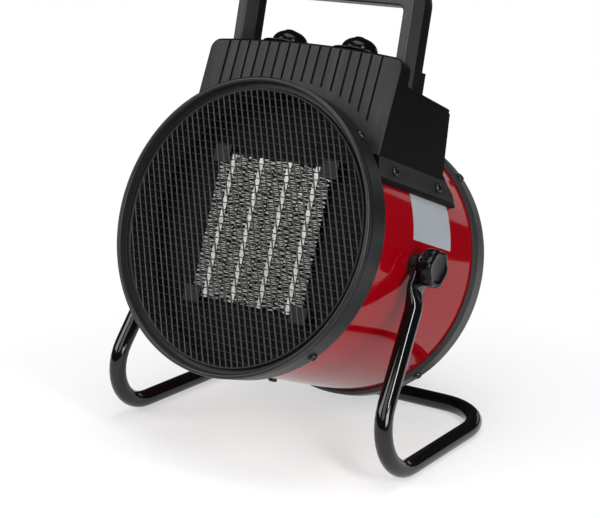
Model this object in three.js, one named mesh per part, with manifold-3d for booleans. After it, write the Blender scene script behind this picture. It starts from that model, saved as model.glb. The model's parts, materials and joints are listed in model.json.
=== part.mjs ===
// A round forced air heater: a red steel drum on a bent tube stand, with a control box and a
// bow handle on top, a ceramic heating element behind the front grille, and a fan at the back.
// Units are millimetres, +Z is up and the air leaves towards -Y. The origin lies on the floor,
// under the middle of the whole heater. Pieces of the drum are drawn in the drum's own axes:
// x across it, y back along it from the front ring's lip, and z up from its centre line.

import * as THREE from 'three';
import { mergeVertices } from 'three/addons/utils/BufferGeometryUtils.js';
import Module from 'manifold-3d';

const wasm = await Module();
wasm.setup();

// ---------------------------------------------------------------- driving dimensions

const CLEARANCE = 0.3;            // gap left between pieces that touch
const TILT = 21.5;                // degrees that the drum looks up in the rest position

// Drum shell, its two rings and its two grilles. A ring's radii are steps from the shell's.
const SHELL_RADIUS = 94;
const SHELL_WALL = 1;
const DRUM_LENGTH = 166;
const RING_LIP_STEP = 6;          // front ring at its lip, outside the shell
const RING_BACK_STEP = 4.6;       // front ring where it meets the shell
const RING_DEPTH = 23;
const LIP_INNER_STEP = 2.6;
const LEDGE_STEP = 2.4;           // ledge that carries the front grille, inside the shell
const LEDGE_THICKNESS = 1.7;
const REAR_RING_STEP = 3;
const REAR_RING_DEPTH = 15;
const REAR_RING_ROUND = 2.5;
const REAR_LIP_STEP = 4.5;        // inside the shell
const REAR_LIP_THICKNESS = 2.2;
const GRILLE_INSET = 5.4;         // front grille behind the lip
const GRILLE_THICKNESS = 1.6;
const GRILLE_RIM = 2.4;
const GRILLE_PITCH = 14;
const GRILLE_WIRE = 1.6;
const REAR_SLOT_PITCH = 11;
const REAR_SLOT_HEIGHT = 7.6;
const REAR_SLOT_BRIDGE = 7;       // upright webs between the rows of slots

// Screws
const SCREW_RADIUS = 1.6;
const SCREW_HEAD_RADIUS = 3.3;
const SCREW_CROWN_RADIUS = 2.3;
const SCREW_HEAD_HEIGHT = 2;
const FRONT_SCREW_LENGTH = 8;
const REAR_SCREW_LENGTH = 6;
const BOTTOM_SCREW_LENGTH = 5;
const SADDLE_SCREW_LENGTH = 9;
const RING_SCREW_BACK = 17.7;
const REAR_SCREW_INSET = 8.5;     // from the back of the drum
const RING_SCREW_ANGLES = { upper_right: 47, upper_left: 133, lower_left: 227, lower_right: 313 };
const BOTTOM_SCREW_BACK = 79;

// Heating element
const ELEMENT_HALF_WIDTH = 45.5;
const ELEMENT_HALF_HEIGHT = 49.3;
const ELEMENT_FRONT = 27.7;
const ELEMENT_DEPTH = 13;
const ELEMENT_ROWS = 4;
const BAR_WIDTH = 3.4;
const FIN_FOLD = 8.2;             // height of one whole fold of a fin strip
const FIN_FACE = 1.8;             // a strip's thickness measured level across its slope
const FIN_INSET = 0.5;            // a strip stands this far behind the bars' faces
const PLATE_FRONT = 33;
const PLATE_THICKNESS = 1;
const PLATE_FLANGE = 9;
const CLIP_WIDTH = 13;
const CLIP_HEIGHT = 11.5;
const CLIP_OVERHANG = 5;          // beyond the element's corner
const CLIP_THICKNESS = 1.2;
const CUTOUT_RADIUS = 8;
const CUTOUT_FLANGE_RADIUS = 11;
const CUTOUT_EDGE = 1;            // thickness of the flange and rounding of the capsule
const CUTOUT_DEPTH = 9;
const CUTOUT_RISE = 16.7;         // above the top of the element

// Fan, motor and the spider that carries them
const FAN_TIP_GAP = 11;           // between the blades' tips and the shell
const FAN_HUB_RADIUS = 21;
const FAN_INSET = 78;             // from the back of the drum, as for the motor and the spider
const FAN_HUB_DEPTH = 18;
const FAN_HUB_NOSE = 4;           // depth of the hub's chamfered front
const FAN_HUB_NOSE_RADIUS = 14.7;
const FAN_HUB_WALL = 2;
const FAN_SLEEVE_WALL = 3;
const FAN_BLADES = 5;
const BLADE_THICKNESS = 1.8;
const BLADE_CAMBER = 0.08;        // share of the chord
const BLADE_ROOT_CHORD = 24;
const BLADE_TIP_CHORD = 50;
const BLADE_ROOT_PITCH = 42;      // degrees out of the plane of rotation
const BLADE_TIP_PITCH = 17;
const SHAFT_RADIUS = 3;
const SHAFT_SEAT = 12;            // depth of the shaft inside the motor
const MOTOR_RADIUS = 28;
const MOTOR_FLANGE_RADIUS = 35;
const MOTOR_FLANGE_THICKNESS = 2;
const MOTOR_INSET = 50;
const MOTOR_LENGTH = 34;
const MOTOR_CHAMFER = 4;
const SPIDER_INSET = 42;
const SPIDER_THICKNESS = 2;
const SPIDER_ARM_WIDTH = 14;
const SPIDER_RING_RADIUS = 42;
const SPIDER_TAB_DEPTH = 12;

// Control box, its ribbed front cover and its top panel
const BOX_SIDE_INSET = 16;        // inside the shell's width
const BOX_WALL = 2.2;
const BOX_RISE = 18;              // from the shell's top to the side walls' top behind the cover
const BOX_REAR_TOP = 105.2;
const BOX_REAR_FOOT = 113.9;
const FLARE_RISE = 13;            // the flare starts this far above where wall and drum would meet
const FLARE_RADIUS = 36;
const FLARE_SWEEP = 27;           // degrees
const SADDLE_REACH = 28.9;        // degrees above the side of the drum where the saddle ends
const SADDLE_FRONT = 28;
const SADDLE_REAR = 130;
const SADDLE_CORNER = 6;
const SADDLE_SCREW_DROP = 10;     // below the start of the flare
const SADDLE_SCREWS = { front: 48.2, rear: 107.2 };
const COVER_OVERHANG = 0.2;       // beyond the side of the box
const COVER_ARCH = 3.1;           // from the cover's corners up to its middle
const COVER_CORNER = 8;
const COVER_FOOT_DROP = 3;        // below the start of the flare
const COVER_FRONT = 28;           // at the height of the foot
const COVER_BACK = 44;
const COVER_LEAN = 3.75;          // degrees that the ribbed face leans back
const COVER_WALL = 2.2;
const COVER_BEVEL = 1.4;
const RIB_GROOVES = 16;
const RIB_PITCH = 8.3;
const GROOVE_WIDTH = 1.9;
const GROOVE_DEPTH = 1.3;
const RIB_TOP_MARGIN = 1.6;       // between the ribs' tops and the edge of the cover
const RIB_END_STEP = 4.5;         // smooth band between the ribs and the front ring
const CABLE_WINDOW_WIDTH = 40;
const CABLE_WINDOW_DEPTH = 30;
const CABLE_WINDOW_BACK = 60;
const PANEL_THICKNESS = 2.4;
const PANEL_SLOPE = 2;            // degrees that the panel falls towards the back
const PANEL_CORNER = 2;
const PANEL_EDGE = 0.8;
const HUMP_HALF_WIDTH = 53;
const HUMP_DEPTH = 44;
const HUMP_HEIGHT = 19.5;
const HUMP_DRAFT = 4;
const HUMP_CORNER = 8;
const HUMP_EDGE = 1.5;
const GLAND_ACROSS = 44;
const GLAND_DROP = 16;            // below the top of the box
const GLAND_BORE_RADIUS = 3.6;
const GLAND_NECK_RADIUS = 6.5;
const GLAND_NUT_RADIUS = 7.5;
const GLAND_COLLAR_RADIUS = 9.5;
const GLAND_COLLAR = 3;
const GLAND_REACH = 9;            // from the wall to the end of the nut
const GLAND_TAIL = 8;             // inside the wall
const GLAND_TILT_ROOM = 2.4;      // the collar clears the slanting wall by this much at its middle
const GLAND_ROUND = 2;

// Knobs on the panel and what they turn
const KNOB_ACROSS = 28.6;
const KNOB_BACK = 9.5;            // behind the front edge of the panel
const KNOB_SKIRT_RADIUS = 18.5;
const KNOB_SKIRT_EDGE = 0.8;
const KNOB_SKIRT_RISE = 2.4;
const KNOB_GRIP_RADIUS = 12.5;
const KNOB_HEIGHT = 11;
const KNOB_CROWN = 3;             // between the end of the spindle and the top of the knob
const POINTER_HALF_WIDTH = 1.2;
const POINTER_RISE = 0.6;
const POINTER_TAIL = 6;           // how far the pointer bar runs past the knob's centre
const SPINDLE_RADIUS = 3;
const SPINDLE_SEAT = 6;           // depth of the spindle inside its switch
const SPINDLE_ROOM = 1;           // round the spindle in the panel
const SWITCH_SIZE = 27;
const SWITCH_HEIGHT = 24;
const SWITCH_CORNER = 2;
const BODY_FORWARD = 8.5;         // reach of a switch body in front of its spindle
const THERMOSTAT_WIDTH = 32;
const THERMOSTAT_DEPTH = 24;
const THERMOSTAT_HEIGHT = 14;
const THERMOSTAT_CUP_RADIUS = 9.6;
const THERMOSTAT_CUP_DEPTH = 6;

// Handle
const HANDLE_INSET = 7.3;         // inside the side of the box
const HANDLE_LEG = 7.2;           // width of a leg seen from the front
const HANDLE_RISE = 52.3;         // from the panel to the underside of the bar
const HANDLE_BAR = 20;
const HANDLE_FRONT_DEPTH = 15.5;
const HANDLE_BACK_DEPTH = 12.8;
const HANDLE_STEP = 0.6;          // the rear half shell is this much smaller round the outside
const HANDLE_INNER_STEP = 2;      // and this much thinner round the inside
const HANDLE_OUTER_CORNER = 18;
const HANDLE_INNER_CORNER = 5;
const HANDLE_LEAN = 8.3;          // degrees that the handle leans forward from the panel
const HANDLE_SETBACK = 2.6;       // behind the front edge of the panel
const HANDLE_BEVEL = 1;
const HANDLE_REAR_ROUND = 5;      // depth of the rounding at the back of the rear shell
const HANDLE_REAR_DRAW = 1.8;     // how far that rounding draws the shell in
const HANDLE_FOOT_HEIGHT = 12;
const HANDLE_FOOT_STEP = 2.5;

// Stand and clamps
const PIVOT_HEIGHT = 132.8;
const PIVOT_BACK = 72;            // behind the front ring's lip
const TUBE_RADIUS = 6;
const FLOOR_FLAT = 0.4;           // depth of the flat where the tube rests
const LEG_REACH = 91.4;           // from the pivot forward to the corner of leg and runner
const RUNNER_BACK = 86.9;         // from the pivot back to the crossbar
const FRONT_HALF_WIDTH = 114.7;
const REAR_HALF_WIDTH = 109.4;
const LEG_BEND_RADIUS = 31.7;
const CORNER_BEND_RADIUS = 41;
const TUBE_SIDES = 10;
const BEND_STEPS = 7;
const EYE_STANDOFF = 7.4;         // from the shell to the middle of the flattened end
const EYE_THICKNESS = 4.6;
const EYE_HALF_WIDTH = 9.2;
const EYE_LENGTH = 30;            // from the pivot down to where the tube is round
const EYE_FLAT = 16;              // from the pivot down to where it is fully flat
const EYE_NOSE = 10.6;            // from the pivot up to the tip
const EYE_SQUARENESS = 0.5;       // power that flattens the sides of the eye's section
const EYE_SET = 2;                // the tube's line aims this far outside the flattened eye
const EYE_OVERLAP = 3;            // how far the pressed end starts inside the round tube
const TUBE_OVAL = 0.12;           // the tube is this much out of round where the pressing starts
const STUD_RADIUS = 4;
const BUSH_RADIUS = 7.5;
const BUSH_CHAMFER = 0.8;
const NUT_RADIUS = 8;
const NUT_THICKNESS = 6.2;
const CLAMP_KNOB_RADIUS = 13.5;
const CLAMP_KNOB_LOBES = 6;
const CLAMP_LOBE_DEPTH = 1.5;
const CLAMP_KNOB_DEPTH = 9.7;
const CLAMP_BOSS_RADIUS = 10;
const CLAMP_BOSS_DEPTH = 1.2;
const STUD_END = 2;               // how far the stud runs past the nut

// ---------------------------------------------------------------- worked-out places

const SHELL_BORE = SHELL_RADIUS - SHELL_WALL;
const SEAT_RADIUS = SHELL_RADIUS + CLEARANCE;
const RING_RADIUS = SHELL_RADIUS + RING_LIP_STEP;
const RING_BACK_RADIUS = SHELL_RADIUS + RING_BACK_STEP;
const LIP_INNER_RADIUS = SHELL_RADIUS + LIP_INNER_STEP;
const LEDGE_RADIUS = SHELL_RADIUS - LEDGE_STEP;
const REAR_RING_RADIUS = SHELL_RADIUS + REAR_RING_STEP;
const REAR_LIP_RADIUS = SHELL_RADIUS - REAR_LIP_STEP;
const GRILLE_BACK = GRILLE_INSET + GRILLE_THICKNESS;
const LEDGE_FRONT = GRILLE_BACK + CLEARANCE;
const LEDGE_BACK = LEDGE_FRONT + LEDGE_THICKNESS;
const SHELL_FRONT = LEDGE_BACK + CLEARANCE;
const REAR_LIP_FRONT = DRUM_LENGTH - REAR_LIP_THICKNESS;
const REAR_GRILLE_BACK = REAR_LIP_FRONT - CLEARANCE;
const REAR_GRILLE_FRONT = REAR_GRILLE_BACK - GRILLE_THICKNESS;
const SHELL_REAR = REAR_GRILLE_FRONT - CLEARANCE;
const REAR_RING_FRONT = DRUM_LENGTH - REAR_RING_DEPTH;
const REAR_SCREW_BACK = DRUM_LENGTH - REAR_SCREW_INSET;
const SCREW_HOLE_RADIUS = SCREW_RADIUS + CLEARANCE;
const ROW_WIDTH = 2 * ELEMENT_HALF_WIDTH / ELEMENT_ROWS;
const FIN_WIDTH = (ROW_WIDTH - BAR_WIDTH - 3 * CLEARANCE) / 2;
const CUTOUT_UP = ELEMENT_HALF_HEIGHT + CUTOUT_RISE;
const FAN_RADIUS = SHELL_BORE - FAN_TIP_GAP;
const FAN_FRONT = DRUM_LENGTH - FAN_INSET;
const MOTOR_FRONT = DRUM_LENGTH - MOTOR_INSET;
const SPIDER_BACK = DRUM_LENGTH - SPIDER_INSET;
const BOX_FRONT = COVER_BACK + CLEARANCE;
const BOX_HALF_WIDTH = SHELL_RADIUS - BOX_SIDE_INSET;
const BOX_TOP = SHELL_RADIUS + BOX_RISE;
const BOX_FOOT = Math.sqrt(SEAT_RADIUS ** 2 - BOX_HALF_WIDTH ** 2) + FLARE_RISE;
const SADDLE_SCREW_UP = BOX_FOOT - SADDLE_SCREW_DROP;
const COVER_FOOT = BOX_FOOT - COVER_FOOT_DROP;
const COVER_HALF_WIDTH = BOX_HALF_WIDTH + COVER_OVERHANG;
const COVER_CROWN = BOX_TOP + HUMP_HEIGHT;
const COVER_SHOULDER = COVER_CROWN - COVER_ARCH;
const RIB_END_RADIUS = RING_RADIUS + RIB_END_STEP;
const GLAND_UP = BOX_TOP - GLAND_DROP;
const HANDLE_HALF_WIDTH = BOX_HALF_WIDTH - HANDLE_INSET;
const PANEL_DEPTH = BOX_REAR_TOP - BOX_FRONT;
const EYE_CENTRE = SHELL_RADIUS + EYE_STANDOFF;
const EYE_INNER = EYE_CENTRE - EYE_THICKNESS / 2;
const EYE_OUTER = EYE_CENTRE + EYE_THICKNESS / 2;
const STUD_HOLE_RADIUS = STUD_RADIUS + CLEARANCE;
const NUT_OUTER = Math.sqrt(SHELL_BORE ** 2 - NUT_RADIUS ** 2) - CLEARANCE;
const NUT_INNER = NUT_OUTER - NUT_THICKNESS;
const TUBE_HEIGHT = TUBE_RADIUS - FLOOR_FLAT;

const ACROSS = new THREE.Vector3(1, 0, 0);
const BACK = new THREE.Vector3(0, 1, 0);
const UP = new THREE.Vector3(0, 0, 1);
const radians = THREE.MathUtils.degToRad;

// ---------------------------------------------------------------- materials

const PAINT = { red: 0x8b0010, satinBlack: 0x1c1d1f, glossBlack: 0x08090a, wire: 0x2b2c2e };

function material(color, roughness, metalness = 0) {
  return new THREE.MeshStandardMaterial({ color, roughness, metalness });
}

const redPaint = () => material(PAINT.red, 0.2);
const satinBlack = () => material(PAINT.satinBlack, 0.45);
const glossBlack = () => material(PAINT.glossBlack, 0.15);
const wirePaint = () => material(PAINT.wire, 0.4, 0.3);
const greyPlastic = () => material(0x3b3c3e, 0.55);
const aluminium = () => material(0xb9b6b0, 0.35, 1);
const steel = () => material(0x8d8f92, 0.4, 1);
const palePlastic = () => material(0xd9d6cc, 0.6);

// ---------------------------------------------------------------- solids from geometry

const point = (x, y) => new THREE.Vector2(x, y);

// A closed geometry as a solid for joins and cuts, with doubled points and empty faces removed.
function solid(geometry) {
  const bare = geometry.index ? geometry.toNonIndexed() : geometry.clone();
  for (const name of Object.keys(bare.attributes)) {
    if (name !== 'position') bare.deleteAttribute(name);
  }
  const merged = mergeVertices(bare, 1e-4);
  const corners = merged.index.array;
  const faces = [];
  for (let i = 0; i < corners.length; i += 3) {
    const [a, b, c] = [corners[i], corners[i + 1], corners[i + 2]];
    if (a !== b && b !== c && c !== a) faces.push(a, b, c);
  }
  const vertProperties = merged.attributes.position.array;
  const made = new wasm.Manifold(
    new wasm.Mesh({ numProp: 3, vertProperties, triVerts: new Uint32Array(faces) }),
  );
  if (made.volume() > 0) return made;
  const turned = Uint32Array.from(faces, (_, i) => faces[i - (i % 3) + 2 - (i % 3)]);
  return new wasm.Manifold(new wasm.Mesh({ numProp: 3, vertProperties, triVerts: turned }));
}

// The faceted geometry of a solid, with one flat normal for each face.
function facets(made) {
  const mesh = made.getMesh();
  const geometry = new THREE.BufferGeometry();
  geometry.setAttribute('position', new THREE.BufferAttribute(mesh.vertProperties, 3));
  geometry.setIndex(new THREE.BufferAttribute(mesh.triVerts, 1));
  const flat = geometry.toNonIndexed();
  flat.computeVertexNormals();
  return flat;
}

const join = (...parts) => parts.reduce((all, part) => all.add(part));
const cut = (body, ...tools) => tools.reduce((left, tool) => left.subtract(tool), body);

// A body of revolution about the y axis from a closed profile of (radius, y) points.
function revolve(profile, segments) {
  return solid(new THREE.LatheGeometry([...profile, profile[0]], segments));
}

// A body of revolution about the y axis whose profile starts and ends on the axis.
function turn(profile, segments) {
  return solid(new THREE.LatheGeometry(profile, segments));
}

// A round bar along y.
function rod(radius, front, back, segments = 16) {
  return turn([point(0, front), point(radius, front), point(radius, back), point(0, back)], segments);
}

// An outline in x and z, made thick towards the back.
function extrudeBack(outline, front, back, options = {}) {
  const shape = new THREE.ExtrudeGeometry(outline, {
    depth: back - front, bevelEnabled: false, curveSegments: 8, ...options,
  });
  shape.applyMatrix4(new THREE.Matrix4().makeBasis(ACROSS, UP, BACK.clone().negate()));
  return solid(shape.translate(0, back, 0));
}

// An outline in y and z, made thick across x about the middle.
function extrudeAcross(outline, halfWidth) {
  const shape = new THREE.ExtrudeGeometry(outline, {
    depth: 2 * halfWidth, bevelEnabled: false, curveSegments: 8,
  });
  shape.applyMatrix4(new THREE.Matrix4().makeBasis(BACK, UP, ACROSS));
  return solid(shape.translate(-halfWidth, 0, 0));
}

function box(x0, x1, y0, y1, z0, z1) {
  const block = new THREE.BoxGeometry(x1 - x0, y1 - y0, z1 - z0);
  return solid(block.translate((x0 + x1) / 2, (y0 + y1) / 2, (z0 + z1) / 2));
}

// A closed skin over rings of points, each ring with as many points, closed at both ends.
function loft(rings) {
  const sides = rings[0].length;
  const points = rings.flat();
  const faces = [];
  for (let r = 0; r + 1 < rings.length; r += 1) {
    for (let s = 0; s < sides; s += 1) {
      const a = r * sides + s;
      const b = r * sides + (s + 1) % sides;
      faces.push(a, b, a + sides, b, b + sides, a + sides);
    }
  }
  const last = (rings.length - 1) * sides;
  for (let s = 1; s + 1 < sides; s += 1) {
    faces.push(0, s + 1, s);
    faces.push(last, last + s, last + s + 1);
  }
  const geometry = new THREE.BufferGeometry().setFromPoints(points);
  geometry.setIndex(faces);
  return solid(geometry);
}

// A rectangle with round corners, drawn about the middle of its foot or of itself.
function roundedRectangle(x0, x1, y0, y1, radius) {
  const outline = new THREE.Shape();
  outline.moveTo(x0 + radius, y0);
  outline.lineTo(x1 - radius, y0);
  outline.absarc(x1 - radius, y0 + radius, radius, -Math.PI / 2, 0);
  outline.lineTo(x1, y1 - radius);
  outline.absarc(x1 - radius, y1 - radius, radius, 0, Math.PI / 2);
  outline.lineTo(x0 + radius, y1);
  outline.absarc(x0 + radius, y1 - radius, radius, Math.PI / 2, Math.PI);
  outline.lineTo(x0, y0 + radius);
  outline.absarc(x0 + radius, y0 + radius, radius, Math.PI, 1.5 * Math.PI);
  return outline;
}

// ---------------------------------------------------------------- drum

const DRUM_SEGMENTS = 48;

// A screw's seat is a place on the drum's cross section and the angle that its head faces.
function radialSeat(radius, angle) {
  return { x: radius * Math.cos(radians(angle)), z: radius * Math.sin(radians(angle)), angle };
}

// A round hole along a seat's axis, at a distance back along the drum.
function hole(seat, back, radius = SCREW_HOLE_RADIUS, sides = 8) {
  const drill = new THREE.CylinderGeometry(radius, radius, 30, sides).rotateZ(-Math.PI / 2);
  return solid(drill.rotateY(-radians(seat.angle)).translate(seat.x, back, seat.z));
}

function ringHoles(back) {
  return Object.values(RING_SCREW_ANGLES).map((angle) => hole(radialSeat(SHELL_RADIUS, angle), back));
}

function frontRing() {
  const round = (RING_RADIUS - LIP_INNER_RADIUS) / 2;
  const lip = new THREE.EllipseCurve(LIP_INNER_RADIUS + round, round, round, round, Math.PI, 0, false);
  const ring = revolve([
    ...lip.getPoints(4).map((p) => point(p.x, p.y)),
    point(RING_BACK_RADIUS, RING_DEPTH),
    point(SEAT_RADIUS, RING_DEPTH),
    point(SEAT_RADIUS, LEDGE_BACK),
    point(LEDGE_RADIUS, LEDGE_BACK),
    point(LEDGE_RADIUS, LEDGE_FRONT),
    point(LIP_INNER_RADIUS, LEDGE_FRONT),
  ], DRUM_SEGMENTS);
  return cut(ring, ...ringHoles(RING_SCREW_BACK));
}

// The front grille: crossed wires inside a round rim, as one welded net.
function frontGrille() {
  const rim = SHELL_RADIUS - CLEARANCE;
  const open = rim - GRILLE_RIM;
  const half = (GRILLE_PITCH - GRILLE_WIRE) / 2;
  const reach = Math.ceil(open / GRILLE_PITCH);
  const gaps = [];
  for (let i = -reach; i < reach; i += 1) {
    for (let j = -reach; j < reach; j += 1) {
      const x = (i + 0.5) * GRILLE_PITCH;
      const z = (j + 0.5) * GRILLE_PITCH;
      if (Math.hypot(x, z) < open - half / 2) {
        gaps.push(box(x - half, x + half, 0, GRILLE_BACK + 1, z - half, z + half));
      }
    }
  }
  const mouth = rod(open, -1, GRILLE_BACK + 2, DRUM_SEGMENTS);
  return rod(rim, GRILLE_INSET, GRILLE_BACK, DRUM_SEGMENTS).subtract(
    wasm.Manifold.compose(gaps).intersect(mouth),
  );
}

function drumShell() {
  const tube = revolve([
    point(SHELL_RADIUS, SHELL_FRONT),
    point(SHELL_RADIUS, SHELL_REAR),
    point(SHELL_BORE, SHELL_REAR),
    point(SHELL_BORE, SHELL_FRONT),
  ], DRUM_SEGMENTS);
  const halfWindow = CABLE_WINDOW_WIDTH / 2;
  const window = box(-halfWindow, halfWindow, CABLE_WINDOW_BACK,
    CABLE_WINDOW_BACK + CABLE_WINDOW_DEPTH, 0, RING_RADIUS);
  return cut(
    tube,
    window,
    ...ringHoles(RING_SCREW_BACK),
    ...ringHoles(REAR_SCREW_BACK),
    ...[0, 180].map((angle) => hole(radialSeat(SHELL_RADIUS, angle), PIVOT_BACK, STUD_HOLE_RADIUS, 16)),
    hole(radialSeat(SHELL_RADIUS, 270), BOTTOM_SCREW_BACK),
    ...saddleHoles(),
  );
}

function rearRing() {
  const round = new THREE.EllipseCurve(
    REAR_RING_RADIUS - REAR_RING_ROUND, DRUM_LENGTH - REAR_RING_ROUND,
    REAR_RING_ROUND, REAR_RING_ROUND, 0, Math.PI / 2, false,
  );
  const ring = revolve([
    point(REAR_RING_RADIUS, REAR_RING_FRONT),
    ...round.getPoints(3).map((p) => point(p.x, p.y)),
    point(REAR_LIP_RADIUS, DRUM_LENGTH),
    point(REAR_LIP_RADIUS, REAR_LIP_FRONT),
    point(SEAT_RADIUS, REAR_LIP_FRONT),
    point(SEAT_RADIUS, REAR_RING_FRONT),
  ], DRUM_SEGMENTS);
  return cut(ring, ...ringHoles(REAR_SCREW_BACK));
}

// The rear grille: a pressed disc with rows of long slots and upright webs.
function rearGrille() {
  const open = REAR_LIP_RADIUS - GRILLE_RIM;
  const rows = Math.floor(open / REAR_SLOT_PITCH);
  const slots = [];
  for (let row = -rows; row <= rows; row += 1) {
    const z = row * REAR_SLOT_PITCH;
    slots.push(box(-open, open, 0, DRUM_LENGTH + 1, z - REAR_SLOT_HEIGHT / 2, z + REAR_SLOT_HEIGHT / 2));
  }
  const webs = [-1, 1].map((side) => {
    const x = side * open / 3;
    return box(x - REAR_SLOT_BRIDGE / 2, x + REAR_SLOT_BRIDGE / 2, -1, DRUM_LENGTH + 2, -open, open);
  });
  const mouth = rod(open, -1, DRUM_LENGTH + 2, DRUM_SEGMENTS);
  const openings = cut(wasm.Manifold.compose(slots).intersect(mouth), ...webs);
  return rod(SHELL_RADIUS, REAR_GRILLE_FRONT, REAR_GRILLE_BACK, DRUM_SEGMENTS).subtract(openings);
}

// A pan head screw whose head sits on the plane y = 0 and whose shank runs towards -y.
function screw(shankLength) {
  return turn([
    point(0, -shankLength),
    point(SCREW_RADIUS, -shankLength),
    point(SCREW_RADIUS, 0),
    point(SCREW_HEAD_RADIUS, 0),
    point(SCREW_CROWN_RADIUS, SCREW_HEAD_HEIGHT),
    point(0, SCREW_HEAD_HEIGHT),
  ], 8);
}

// Puts a screw's head just off its seat, facing the seat's angle.
function placeScrew(mesh, seat, back) {
  const facing = radialSeat(CLEARANCE, seat.angle);
  mesh.position.set(seat.x + facing.x, back, seat.z + facing.z);
  mesh.rotation.order = 'YXZ';
  mesh.rotation.set(0, -radians(seat.angle), -Math.PI / 2);
}

// ---------------------------------------------------------------- heating element

// One corrugated fin strip, folded up and down its height between two upright bars.
function finStrip() {
  const folds = Math.floor(2 * ELEMENT_HALF_HEIGHT / FIN_FOLD);
  const rise = 2 * ELEMENT_HALF_HEIGHT / folds;
  const outline = new THREE.Shape();
  const half = FIN_WIDTH / 2;
  const height = (i) => -ELEMENT_HALF_HEIGHT + i * rise / 2;
  const left = (i) => (i % 2 ? half - FIN_FACE : -half);
  outline.moveTo(left(0), height(0));
  for (let i = 1; i <= 2 * folds; i += 1) outline.lineTo(left(i), height(i));
  for (let i = 2 * folds; i >= 0; i -= 1) outline.lineTo(left(i) + FIN_FACE, height(i));
  outline.closePath();
  return extrudeBack(outline, ELEMENT_FRONT + FIN_INSET, ELEMENT_FRONT + ELEMENT_DEPTH - FIN_INSET);
}

// One upright aluminium bar that holds the ceramic stones.
function elementBar() {
  return box(-BAR_WIDTH / 2, BAR_WIDTH / 2, ELEMENT_FRONT, ELEMENT_FRONT + ELEMENT_DEPTH,
    -ELEMENT_HALF_HEIGHT, ELEMENT_HALF_HEIGHT);
}

// The flanged plate round the element, which closes the drum and sends the air through the fins.
function elementPlate() {
  const rim = SHELL_BORE - CLEARANCE;
  const plate = turn([
    point(0, PLATE_FRONT),
    point(rim, PLATE_FRONT),
    point(rim, PLATE_FRONT + PLATE_FLANGE),
    point(rim - PLATE_THICKNESS, PLATE_FRONT + PLATE_FLANGE),
    point(rim - PLATE_THICKNESS, PLATE_FRONT + PLATE_THICKNESS),
    point(0, PLATE_FRONT + PLATE_THICKNESS),
  ], DRUM_SEGMENTS);
  const width = ELEMENT_HALF_WIDTH + CLEARANCE;
  const height = ELEMENT_HALF_HEIGHT + CLEARANCE;
  return cut(plate, box(-width, width, 0, DRUM_LENGTH, -height, height));
}

// A corner clip: a tab over the element's front corner and a foot that stands on the plate.
function elementClip() {
  const tabFront = ELEMENT_FRONT - CLEARANCE - CLIP_THICKNESS;
  const x1 = ELEMENT_HALF_WIDTH + CLIP_OVERHANG;
  const z1 = ELEMENT_HALF_HEIGHT + CLIP_OVERHANG;
  const tab = box(x1 - CLIP_WIDTH, x1, tabFront, tabFront + CLIP_THICKNESS, z1 - CLIP_HEIGHT, z1);
  const leg = box(x1 - CLIP_WIDTH, x1, tabFront + CLIP_THICKNESS / 2, PLATE_FRONT - CLEARANCE,
    z1 - CLIP_THICKNESS, z1);
  return join(tab, leg);
}

// The overheat cut-out: a round capsule on a small flange.
function thermalCutout() {
  const back = PLATE_FRONT + PLATE_THICKNESS + CLEARANCE;
  return turn([
    point(0, back),
    point(CUTOUT_FLANGE_RADIUS, back),
    point(CUTOUT_FLANGE_RADIUS, back + CUTOUT_EDGE),
    point(CUTOUT_RADIUS, back + CUTOUT_EDGE),
    point(CUTOUT_RADIUS, back + CUTOUT_DEPTH - CUTOUT_EDGE),
    point(CUTOUT_RADIUS - CUTOUT_EDGE, back + CUTOUT_DEPTH),
    point(0, back + CUTOUT_DEPTH),
  ], 20);
}

// ---------------------------------------------------------------- fan and motor

// One twisted blade as a loft of thin curved sections from the hub to the tip.
function fanBlade() {
  const stations = 5;
  const rings = [];
  for (let i = 0; i < stations; i += 1) {
    const share = i / (stations - 1);
    const radius = THREE.MathUtils.lerp(FAN_HUB_RADIUS - FAN_HUB_WALL, FAN_RADIUS, share);
    const chord = THREE.MathUtils.lerp(BLADE_ROOT_CHORD, BLADE_TIP_CHORD, Math.sin(share * Math.PI / 2));
    const pitch = radians(THREE.MathUtils.lerp(BLADE_ROOT_PITCH, BLADE_TIP_PITCH, share));
    const middle = FAN_FRONT + FAN_HUB_DEPTH / 2;
    const ring = [];
    for (const [along, side] of [[-1, 0], [-0.4, -1], [0.4, -1], [1, 0], [0.4, 1], [-0.4, 1]]) {
      const camber = BLADE_CAMBER * chord * (1 - along * along);
      const s = along * chord / 2;
      const n = side * BLADE_THICKNESS / 2 + camber;
      const turned = s * Math.cos(pitch) / radius;
      ring.push(new THREE.Vector3(
        radius * Math.sin(turned),
        middle + s * Math.sin(pitch) - n * Math.cos(pitch),
        radius * Math.cos(turned),
      ));
    }
    rings.push(ring);
  }
  return loft(rings);
}

function fan() {
  const sleeveFront = FAN_FRONT + FAN_HUB_NOSE;
  const hubBack = FAN_FRONT + FAN_HUB_DEPTH;
  const hub = turn([
    point(0, FAN_FRONT),
    point(FAN_HUB_NOSE_RADIUS, FAN_FRONT),
    point(FAN_HUB_RADIUS, sleeveFront),
    point(FAN_HUB_RADIUS, hubBack),
    point(0, hubBack),
  ], 24);
  const blade = fanBlade();
  const blades = Array.from({ length: FAN_BLADES }, (_, i) => blade.rotate([0, 360 * i / FAN_BLADES, 0]));
  const bore = rod(SHAFT_RADIUS + CLEARANCE, sleeveFront, hubBack + 1, 12);
  const hollow = revolve([
    point(FAN_HUB_RADIUS - FAN_HUB_WALL, sleeveFront + FAN_HUB_WALL),
    point(FAN_HUB_RADIUS - FAN_HUB_WALL, hubBack + 1),
    point(SHAFT_RADIUS + FAN_SLEEVE_WALL, hubBack + 1),
    point(SHAFT_RADIUS + FAN_SLEEVE_WALL, sleeveFront + FAN_HUB_WALL),
  ], 30);
  return cut(join(hub, ...blades), bore, hollow);
}

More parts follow.
